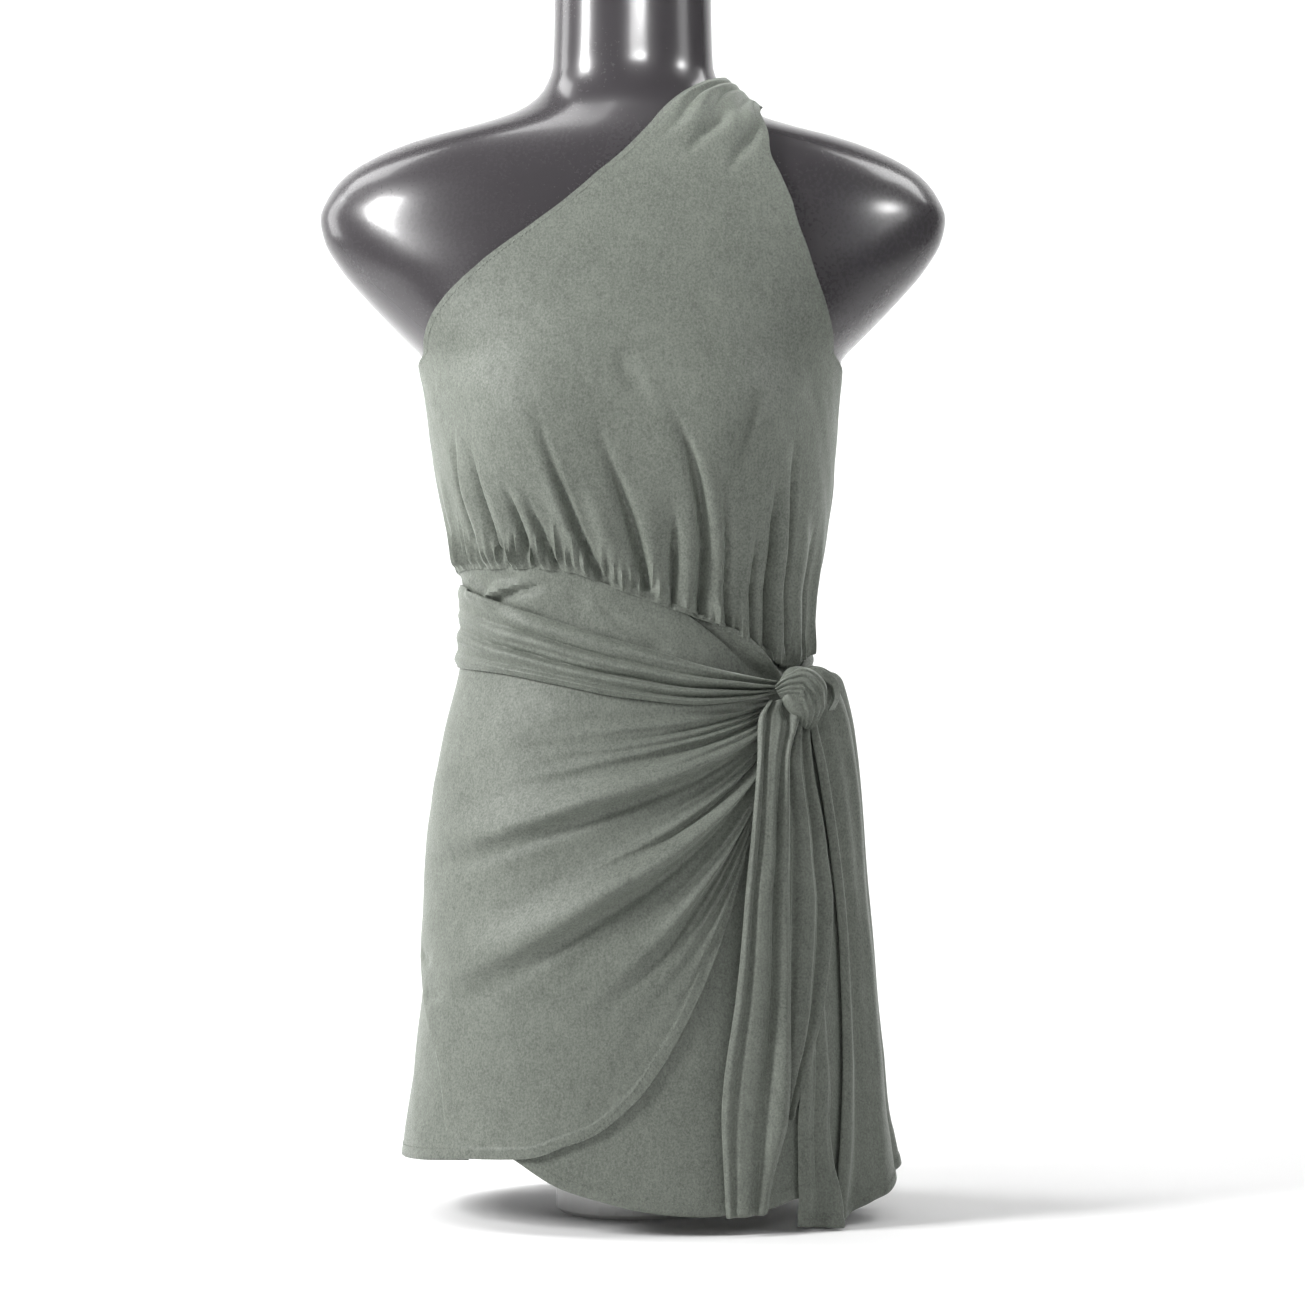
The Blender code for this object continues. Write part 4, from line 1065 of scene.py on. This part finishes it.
WRAP_DEPTH = 1.15
HEM_STARTS_AT_ROW = 160
last_ray = len(WRAP_RAYS) - 1
ray, share = np.meshgrid(np.linspace(0, last_ray, 230), np.linspace(0, 1, 170), indexing="ij")
wrap_table = np.column_stack([np.arange(last_ray + 1.0), np.array(WRAP_RAYS)])
outer_angle, outer_z, tie_angle, tie_z, sag = np.moveaxis(smooth(wrap_table, ray), -1, 0)
angle = outer_angle + (tie_angle - outer_angle) * share
z = outer_z + (tie_z - outer_z) * share - 4 * sag * share * (1 - share)
z = np.minimum(z, waist(angle) - 0.0006 - 0.0015 * ray)
rise = np.zeros_like(ray)
for place, crest, width, highest, start, lean, bow in WRAP_FOLDS:
    grow = ease_in((share - start) / (highest - start))
    fall = 1 - 0.55 * ease_in((share - highest) / (1 - highest))
    line = place + bow * np.sin(2 * np.pi * share) + 0.03 * wobble(share * 9, place * 3)
    wide = width * (1.15 - 0.3 * share)
    rise += WRAP_DEPTH * crest * grow * fall * rolled((ray - line) / wide, lean)
lift = ease(angle, z) + LAYER + CLOTH + rise + curve_folds(angle, z, WRAP_CREASES)
lift = lift + 0.0005 * wobble(ray * 2.1 + share * 5, 0.5)
lift = laid(angle, z, lift, 3)
outer = over_form(angle, z, lift)
hem_line = np.concatenate([outer[HEM_STARTS_AT_ROW:, 0], outer[-1, :]])
lift = lift + hem_relief(outer, hem_line, HEM_DEPTH)
outer = over_form(angle, z, lift)
write_chart(angle, z, lift)
wrap = cloth_wall("cloth_skirt_wrap", outer)
stitch_along(outer, "last_row", HEM_DEPTH)
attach(wrap, "root")
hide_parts("skirt_wrap")
print("wrap faces:", len(wrap.data.polygons))

# %% [markdown]
# ## The tie band
# The band is a long strip that lies round the waist in soft lengthwise folds, loose at the
# wearer's right and drawn together at the knot. Its folds wander, part and meet again.

# %% The tie band
SASH = (
    (-295, 0.3640, 0.3470, -0.0040),
    (-270, 0.3800, 0.3480, -0.0032),
    (-250, 0.3890, 0.3500, -0.0030),
    (-180, 0.4050, 0.3570, -0.0028),
    (-110, 0.4230, 0.3660, -0.0020),
    (-90, 0.4260, 0.3680, 0.0000),
    (-64, 0.4210, 0.3665, 0.0000),
    (-47, 0.4120, 0.3640, 0.0000),
    (-22, 0.3980, 0.3560, 0.0000),
    (-3, 0.3860, 0.3480, 0.0006),
    (20, 0.3705, 0.3425, 0.0024),
    (36, 0.3615, 0.3450, 0.0054),
    (46, 0.3560, 0.3480, 0.0086),
)
# Folds of the band: place across it at its right end, in front and at the knot, then how
# far it wanders, rise, half width, lean
SASH_FOLDS = (
    (0.14, 0.16, 0.12, 0.03, 0.0026, 0.110, 0.5),
    (0.30, 0.34, 0.28, 0.02, -0.0014, 0.035, 0.0),
    (0.38, 0.46, 0.42, 0.02, 0.0030, 0.100, 0.7),
    (0.52, 0.64, 0.57, 0.01, -0.0026, 0.036, 0.0),
    (0.64, 0.75, 0.68, 0.01, 0.0024, 0.075, 0.6),
    (0.80, 0.86, 0.82, 0.02, -0.0012, 0.035, 0.0),
    (0.90, 0.93, 0.92, 0.01, 0.0018, 0.060, 0.5),
)
BAND_START, BAND_END = SASH[0][0], SASH[-1][0]
BAND_DEPTH = 1.45
band_angles = np.linspace(BAND_START, BAND_END, 330)
angle, across = np.meshgrid(band_angles, np.linspace(0, 1, 44), indexing="ij")
upper, lower, extra = np.moveaxis(smooth(SASH, angle), -1, 0)
z = upper + (lower - upper) * across + 0.0012 * wobble(angle * 0.05, 3) * np.sin(np.pi * across)
rise = np.zeros_like(angle)
for place_1, place_2, place_3, wander, crest, width, lean in SASH_FOLDS:
    marks = (
        (BAND_START, place_2), (-200, place_1), (-90, place_1), (-25, place_2), (BAND_END, place_3),
    )
    line = smooth(marks, angle)[..., 0] + wander * wobble(angle * 0.045, place_1 * 20)
    size = 1 + 0.35 * wobble(angle * 0.08, place_1 * 31)
    rise += crest * size * rolled((across - line) / width, lean)
gathered = 0.3 + 0.7 * ease_in((angle + 100) / 62) + 0.5 * ease_in((-130 - angle) / 60)
rise = rise * gathered * BAND_DEPTH
edge_roll = -0.0016 * (bump(across / 0.05) + bump((1 - across) / 0.05))
lift = laid(angle, z, ease(angle, z) + 2 * LAYER + CLOTH + extra + rise + edge_roll, 2)
panel("sash", angle, z, lift, (), 0.0)

# %% [markdown]
# ## The hanging ends
# What is left of the tie hangs from the knot in four lengths, folded lengthwise at the top and
# opening out on the way down. They are laid one over the other, the side one first and the
# front one last. A row gives both edges of a length, and its folds run from end to end.

# %% The hanging ends of the tie
TAIL_FRONT = (
    (41.5, 0.3430, 0.0135, 50.0, 0.3430, 0.0135),
    (37.5, 0.3320, 0.0120, 50.8, 0.3320, 0.0125),
    (35.5, 0.3060, 0.0100, 46.2, 0.3060, 0.0110),
    (32.5, 0.2560, 0.0092, 45.0, 0.2560, 0.0098),
    (30.0, 0.2160, 0.0090, 43.6, 0.2160, 0.0094),
    (26.5, 0.1540, 0.0086, 42.4, 0.1540, 0.0086),
    (22.5, 0.0790, 0.0080, 39.6, 0.0780, 0.0080),
    (23.2, 0.0140, 0.0076, 34.6, 0.0160, 0.0076),
)
TAIL_MIDDLE = (
    (51.6, 0.3420, 0.0152, 59.0, 0.3420, 0.0152),
    (49.6, 0.3320, 0.0110, 58.0, 0.3310, 0.0110),
    (43.6, 0.3060, 0.0066, 58.4, 0.2960, 0.0100),
    (42.2, 0.2560, 0.0060, 62.0, 0.2500, 0.0090),
    (41.2, 0.2160, 0.0058, 63.0, 0.2180, 0.0090),
    (40.2, 0.1540, 0.0056, 55.6, 0.1520, 0.0092),
    (39.0, 0.1060, 0.0056, 47.0, 0.1060, 0.0096),
    (37.6, 0.0790, 0.0056, 42.2, 0.0790, 0.0096),
)
TAIL_LOWER = (
    (51.0, 0.1500, 0.0020, 58.0, 0.1560, 0.0020),
    (49.4, 0.1200, 0.0026, 58.2, 0.1230, 0.0026),
    (47.0, 0.0880, 0.0034, 58.0, 0.0870, 0.0034),
    (45.4, 0.0400, 0.0034, 56.4, 0.0400, 0.0034),
    (44.0, 0.0060, 0.0034, 56.0, 0.0040, 0.0034),
)
TAIL_SIDE = (
    (63.0, 0.3440, 0.0110, 63.0, 0.3550, 0.0110),
    (64.0, 0.3370, 0.0085, 79.0, 0.3630, 0.0170),
    (63.6, 0.3270, 0.0056, 88.6, 0.3550, 0.0208),
    (64.5, 0.3050, 0.0042, 95.0, 0.3300, 0.0200),
    (66.5, 0.2620, 0.0032, 98.0, 0.2750, 0.0185),
    (68.5, 0.2000, 0.0030, 98.0, 0.2050, 0.0170),
    (67.0, 0.1480, 0.0030, 98.0, 0.1500, 0.0165),
    (62.0, 0.0700, 0.0032, 97.0, 0.0880, 0.0175),
    (54.4, 0.0040, 0.0036, 94.0, 0.0380, 0.0195),
)
# Folds of each end: place across, wander, rise at the knot and at the end, half width, lean
TAIL_FOLDS = {
    "tail_lower": ((0.20, 0.03, 0.0016, 0.0016, 0.16, 0.3), (0.50, 0.05, -0.0010, -0.0012, 0.05, 0.0),
                   (0.76, 0.04, 0.0016, 0.0018, 0.16, 0.4)),
    "tail_front": ((0.07, 0.01, 0.0024, 0.0014, 0.08, 0.4), (0.22, 0.03, -0.0040, -0.0014, 0.045, 0.0),
                   (0.46, 0.03, 0.0048, 0.0026, 0.17, 0.6), (0.69, 0.03, -0.0046, -0.0018, 0.050, 0.0),
                   (0.84, 0.03, 0.0036, 0.0022, 0.10, 0.5)),
    "tail_middle": ((0.10, 0.02, 0.0030, 0.0024, 0.10, 0.5), (0.27, 0.04, -0.0040, -0.0016, 0.045, 0.0),
                    (0.50, 0.06, 0.0050, 0.0034, 0.16, 0.6), (0.73, 0.03, -0.0044, -0.0016, 0.045, 0.0),
                    (0.88, 0.02, 0.0032, 0.0022, 0.09, 0.5)),
    "tail_side": ((0.06, 0.01, 0.0012, 0.0026, 0.08, 0.5), (0.24, 0.02, -0.0080, -0.0046, 0.085, 0.0),
                  (0.53, 0.05, 0.0052, 0.0046, 0.16, -0.7), (0.77, 0.03, -0.0026, -0.0024, 0.050, 0.0),
                  (0.92, 0.01, 0.0026, 0.0024, 0.07, 0.4)),
}


END_HEM = 0.0060


def hanging_end(name, rows, along, over, seed):
    """One hanging end of the tie, with as many points along and over it as given."""
    table = np.column_stack([np.linspace(0, 1, len(rows)), np.array(rows)])
    share, across = np.meshgrid(np.linspace(0, 1, along), np.linspace(0, 1, over), indexing="ij")
    angle_1, z_1, lift_1, angle_2, z_2, lift_2 = np.moveaxis(smooth(table, share), -1, 0)
    angle = angle_1 + (angle_2 - angle_1) * across + 0.35 * wobble(share * 7, seed) * ease_in(share * 3)
    z = z_1 + (z_2 - z_1) * across
    stand_off = lift_1 + (lift_2 - lift_1) * across
    rise = np.zeros_like(angle)
    for place, wander, crest_1, crest_2, width, lean in TAIL_FOLDS[name]:
        line = place + wander * wobble(share * 5, seed + place * 17)
        size = 1 + 0.25 * wobble(share * 8, seed + place * 29)
        rise += (crest_1 + (crest_2 - crest_1) * share) * size * rolled((across - line) / width, lean)
    edge_roll = -0.0014 * (bump(across / 0.04) + bump((1 - across) / 0.04))
    lift = laid(angle, z, ease(angle, z) + stand_off + CLOTH + rise + edge_roll, 8)
    panel(name, angle, z, lift, ("last_row",), END_HEM)


hanging_end("tail_side", TAIL_SIDE, 190, 72, 3.3)
hanging_end("tail_lower", TAIL_LOWER, 90, 44, 0.3)
hanging_end("tail_middle", TAIL_MIDDLE, 170, 66, 1.3)
hanging_end("tail_front", TAIL_FRONT, 200, 60, 2.3)

# %% [markdown]
# ## The knot
# The band is wound once round the hanging ends and tucked under itself. A core of bunched cloth
# fills the middle. Over it lies the winding, a pleated strip that comes from the band, widens,
# and dives in at the lower right. A small loop passes out to the side end.

# %% The knot
KNOT_ANGLE, KNOT_HEIGHT = 54.2, 0.3480
KNOT_LIFT = 0.0194
# How far behind and before the knot's middle its strips are centred
WINDING_AXIS, STRIP_AXIS = -0.004, 0.002
knot_back = float(ease(KNOT_ANGLE, KNOT_HEIGHT)) + KNOT_LIFT
knot_spot = np.array(KNOT_ANGLE), np.array(KNOT_HEIGHT)
knot_middle = over_form(*knot_spot, np.array(knot_back))
knot_out = over_form(*knot_spot, np.array(knot_back + 0.01)) - knot_middle
knot_out /= np.linalg.norm(knot_out)
knot_side = np.cross((0.0, 0.0, 1.0), knot_out)
knot_side /= -np.linalg.norm(knot_side) if knot_side[0] < 0 else np.linalg.norm(knot_side)
knot_up = np.cross(knot_out, knot_side)
knot_up *= np.sign(knot_up[2])


def knot_place(side, up, out):
    """A point of the knot from three offsets."""
    side, up, out = np.broadcast_arrays(side, up, out)
    aside = side[..., None] * knot_side + up[..., None] * knot_up
    return knot_middle + aside + out[..., None] * knot_out


def pleat_rise(place, pleats):
    """Rise of pleats across a strip."""
    rise = np.zeros_like(place)
    for middle, crest, width, lean in pleats:
        rise += crest * rolled((place - middle) / width, lean)
    return rise


def wound_strip(path, half_widths, pleats, along=110, over=60, curl=0.005):
    """A pleated strip that runs along a path, with its edges curled in."""
    path = np.asarray(path, float)
    marks = np.column_stack([np.linspace(0, 1, len(path)), path, half_widths])
    share, across = np.meshgrid(np.linspace(0, 1, along), np.linspace(-1, 1, over), indexing="ij")
    side, up, out, half = np.moveaxis(smooth(marks, share), -1, 0)
    centre = knot_place(side, up, out)
    run = np.gradient(centre, axis=0)
    run /= np.linalg.norm(run, axis=-1, keepdims=True)
    toward = centre - (knot_middle + knot_out * WINDING_AXIS)
    width_way = np.cross(run, toward)
    width_way /= np.linalg.norm(width_way, axis=-1, keepdims=True)
    normal = np.cross(width_way, run)
    normal *= np.sign((normal * toward).sum(-1, keepdims=True))
    rise = pleat_rise(across + 0.05 * wobble(share * 7, 2.0), pleats) - curl * np.abs(across) ** 3
    return centre + width_way * (half * across)[..., None] + normal * rise[..., None]


def strip_wall(outer):
    """Points and faces of a strip as thick as cloth, that faces away from the knot's middle."""
    rows, columns = outer.shape[:2]
    normal = grid_normals(outer)
    toward = outer - (knot_middle + knot_out * STRIP_AXIS)
    if float((normal * toward).sum()) < 0:
        outer = outer[:, ::-1]
        normal = grid_normals(outer)
    inner = outer - normal * CLOTH
    count = rows * columns
    rim = rim_of(rows, columns)
    following = np.roll(rim, -1)
    faces = np.concatenate([
        grid_faces(rows, columns), grid_faces(rows, columns, count)[:, ::-1],
        np.stack([following, rim, count + rim, count + following], axis=-1),
    ])
    return np.concatenate([outer.reshape(-1, 3), inner.reshape(-1, 3)]), faces


def lump(centre, half, pleats, slant, power=2.2, rings=50, spokes=120):
    """A closed rounded lump with slanting pleats on its front."""
    turns = np.linspace(0, 2 * math.pi, spokes, endpoint=False)
    height, turn = np.meshgrid(np.linspace(-1, 1, rings), turns, indexing="ij")
    ring = (1 - np.abs(height) ** power) ** (1 / power)
    side = half[0] * ring * np.cos(turn)
    out = half[2] * ring * np.sin(turn)
    up = half[1] * height
    line = up / half[1] + slant * side / half[0]
    swell = 1 + pleat_rise(line, pleats) * ring
    points = knot_place(centre[0] + side * swell, centre[1] + up, centre[2] + out * swell)
    index = np.arange(rings * spokes).reshape(rings, spokes)
    around = np.roll(index, -1, axis=1)
    faces = np.stack([index[:-1], around[:-1], around[1:], index[1:]], axis=-1).reshape(-1, 4)
    ends = [index[0].tolist()[::-1], index[-1].tolist()]
    return points.reshape(-1, 3), faces, ends


WIND_PLEATS = (
    (-0.80, 0.0016, 0.13, 0.6), (-0.46, 0.0024, 0.15, 0.7), (-0.08, 0.0028, 0.16, 0.7),
    (0.28, 0.0024, 0.14, 0.7), (0.58, 0.0022, 0.13, 0.7), (0.86, 0.0014, 0.10, 0.6),
)
# Side, up, out of the winding's centre line, and its half width
WINDING = (
    (-0.0235, 0.0010, -0.0020), (-0.0185, 0.0036, 0.0065), (-0.0125, 0.0030, 0.0125),
    (-0.0080, -0.0035, 0.0150), (-0.0045, -0.0120, 0.0125), (-0.0010, -0.0205, 0.0050),
    (0.0010, -0.0235, -0.0010),
)
WINDING_HALF = (0.0050, 0.0092, 0.0126, 0.0138, 0.0122, 0.0086, 0.0056)
SIDE_LOOP = (
    (0.0030, 0.0100, -0.0010), (0.0080, 0.0140, 0.0050), (0.0145, 0.0115, 0.0095),
    (0.0215, 0.0060, 0.0105), (0.0262, -0.0034, 0.0075), (0.0275, -0.0110, 0.0010),
)
SIDE_LOOP_HALF = (0.0050, 0.0074, 0.0088, 0.0090, 0.0082, 0.0060)
LOOP_PLEATS = ((-0.6, 0.0016, 0.24, 0.5), (0.0, 0.0020, 0.20, 0.5), (0.6, 0.0016, 0.24, 0.5))
CORE_PLEATS = ((-0.9, 0.06, 0.14, 0.4), (-0.45, 0.08, 0.15, 0.4), (0.0, 0.09, 0.15, 0.4),
               (0.45, 0.08, 0.15, 0.4), (0.9, 0.06, 0.14, 0.4))

knot_points, knot_faces, start = [], [], 0
CORE_CENTRE, CORE_HALF, CORE_SLANT = (-0.0050, -0.0010, 0.0020), (0.0155, 0.0175, 0.0090), 0.7
core_points, core_faces, core_ends = lump(CORE_CENTRE, CORE_HALF, CORE_PLEATS, CORE_SLANT)
knot_points.append(core_points)
knot_faces += core_faces.tolist() + core_ends
start += len(core_points)
for path, halves, pleats in (
    (SIDE_LOOP, SIDE_LOOP_HALF, LOOP_PLEATS),
    (WINDING, WINDING_HALF, WIND_PLEATS),
):
    strip_points, strip_faces = strip_wall(wound_strip(path, halves, pleats))
    knot_points.append(strip_points)
    knot_faces += (strip_faces + start).tolist()
    start += len(strip_points)
knot = make_mesh("cloth_sash_knot", np.concatenate(knot_points), knot_faces, cloth_paint, 80)
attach(knot, "root")
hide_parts("sash_knot")
print("knot faces:", len(knot.data.polygons))

# %% [markdown]
# ## Topstitching and the foot
# The thread of every hem was collected on the way and becomes one piece. The neckline and the
# armhole get a row too. The foot is plain, so it keeps its shape and only takes a finish.

# %% Stitches and the foot
EDGE_STITCH_DEPTH = 0.0052
ABOVE_SIDE_SEAM = slice(100, 188)
for side in ("first_column", "last_column"):
    stitch_along(front_outer, side, EDGE_STITCH_DEPTH, ABOVE_SIDE_SEAM)
thread = make_mesh("topstitching", stitch_points, stitch_faces, thread_paint, 80)
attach(thread, "root")

foot = bpy.data.objects["form_foot"]
foot.data.materials.clear()
foot.data.materials.append(foot_paint)
print("stitches:", len(stitch_points) // (STITCH_SIDES * len(STITCH_RINGS)))

# %% [markdown]
# ## Floor, light and camera
# The picture is a plain pale room with soft light. A strong key stands at the left, weak lamps
# stand at the other sides and above, and two light the wall behind. Three lamps with narrow beams
# only put a shine on the neck and the shoulder caps. The camera is level with the hip.

# %% The room, the light and the camera
def flat_paint(name, colour, rough):
    """A plain finish with a little unevenness."""
    paint = Paint(name)
    clouds = paint.noise((1, 1, 1), 3.0, 2.0, 0.5)
    lighter = tuple(min(1.0, 1.04 * v) for v in colour[:3]) + (1,)
    return paint.finish(paint.blend(clouds, colour, lighter), rough)


# The backdrop: front edge and start of the curve in y, the curve's radius, height, half width
FLOOR_FRONT, CURVE_START, CURVE_RADIUS, WALL_TOP, HALF_WIDTH = -2.2, 0.9, 0.9, 3.4, 3.2
CURVE_PARTS = 12


def sweep():
    """A floor that curves up into a wall behind."""
    profile = [(FLOOR_FRONT, 0.0), (CURVE_START, 0.0)]
    for step in range(1, CURVE_PARTS + 1):
        turn = step / CURVE_PARTS * math.pi / 2
        back = CURVE_START + CURVE_RADIUS * math.sin(turn)
        profile.append((back, CURVE_RADIUS * (1 - math.cos(turn))))
    profile.append((CURVE_START + CURVE_RADIUS, WALL_TOP))
    points = [(x, y, z) for x in (-HALF_WIDTH, HALF_WIDTH) for y, z in profile]
    count = len(profile)
    faces = [(k, count + k, count + k + 1, k + 1) for k in range(count - 1)]
    return make_mesh("backdrop", points, faces, flat_paint("backdrop_paint", (0.90, 0.90, 0.90, 1), 0.9), 60)


def soft_light(name, place, aim, size, power, spread):
    """A rectangular studio light, with a beam that can be kept narrow."""
    data = bpy.data.lights.new(name, "AREA")
    data.shape = "RECTANGLE"
    data.size, data.size_y = size
    data.energy = power
    data.spread = math.radians(spread)
    lamp = bpy.data.objects.new(name, data)
    bpy.context.scene.collection.objects.link(lamp)
    lamp.location = place
    way = np.array(place, float) - np.array(aim, float)
    lamp.rotation_euler = Vector(way).to_track_quat("Z", "Y").to_euler()


backdrop = sweep()
# Name, place, what it is aimed at, size, power in watts, beam in degrees
LAMPS = (
    ("key", (-1.98, -0.98, 1.58), (0, 0, 0.46), (0.5, 1.0), 74, 180),
    ("left_edge", (-1.5, 0.45, 1.00), (0, 0, 0.55), (0.5, 1.0), 8, 180),
    ("front", (0.0, -2.7, 1.30), (0, 0, 0.66), (0.30, 0.8), 0.75, 42),
    ("fill", (1.9, -0.75, 1.45), (0, 0, 0.5), (0.6, 0.9), 6, 180),
    ("neck_shine", (0.16, -1.0, 1.06), (0.0, -0.03, 0.83), (0.30, 0.18), 0.11, 17),
    ("left_cap_shine", (-0.83, -0.32, 1.00), (-0.19, -0.02, 0.68), (0.46, 0.40), 0.14, 16),
    ("right_cap_shine", (0.83, -0.32, 1.02), (0.19, -0.02, 0.68), (0.46, 0.42), 0.16, 16),
    ("top", (-0.2, -0.1, 2.2), (0, 0, 0.5), (0.8, 0.5), 9, 180),
    ("wall_left", (-1.6, 0.5, 2.2), (-0.6, 1.9, 0.9), (1.4, 0.8), 26, 180),
    ("wall_right", (1.6, 0.5, 2.2), (0.6, 1.9, 0.9), (1.4, 0.8), 26, 180),
)
for lamp_row in LAMPS:
    soft_light(*lamp_row)
ROOM_GLOW = 0.08
world = bpy.data.worlds.new("room")
world.use_nodes = True
room_light = world.node_tree.nodes["Background"]
room_light.inputs["Color"].default_value = (1, 1, 1, 1)
room_light.inputs["Strength"].default_value = ROOM_GLOW
bpy.context.scene.world = world

# The focal length is in the picture's pixels, as it was worked out from the photograph
PICTURE_WIDTH, FOCAL_PIXELS, SENSOR_WIDTH = 1305, 3676.5, 36
CAMERA_PLACE = (0.0133, -2.5, 0.378)
camera_data = bpy.data.cameras.new("camera")
camera_data.sensor_fit = "HORIZONTAL"
camera_data.sensor_width = SENSOR_WIDTH
camera_data.lens = FOCAL_PIXELS / PICTURE_WIDTH * SENSOR_WIDTH
camera = bpy.data.objects.new("camera", camera_data)
camera.location = CAMERA_PLACE
camera.rotation_euler = (math.pi / 2, 0, 0)
bpy.context.scene.collection.objects.link(camera)
bpy.context.scene.camera = camera
bpy.context.scene.view_settings.view_transform = "Standard"
print("lamps:", len(LAMPS), " lens, mm:", round(camera_data.lens, 2))
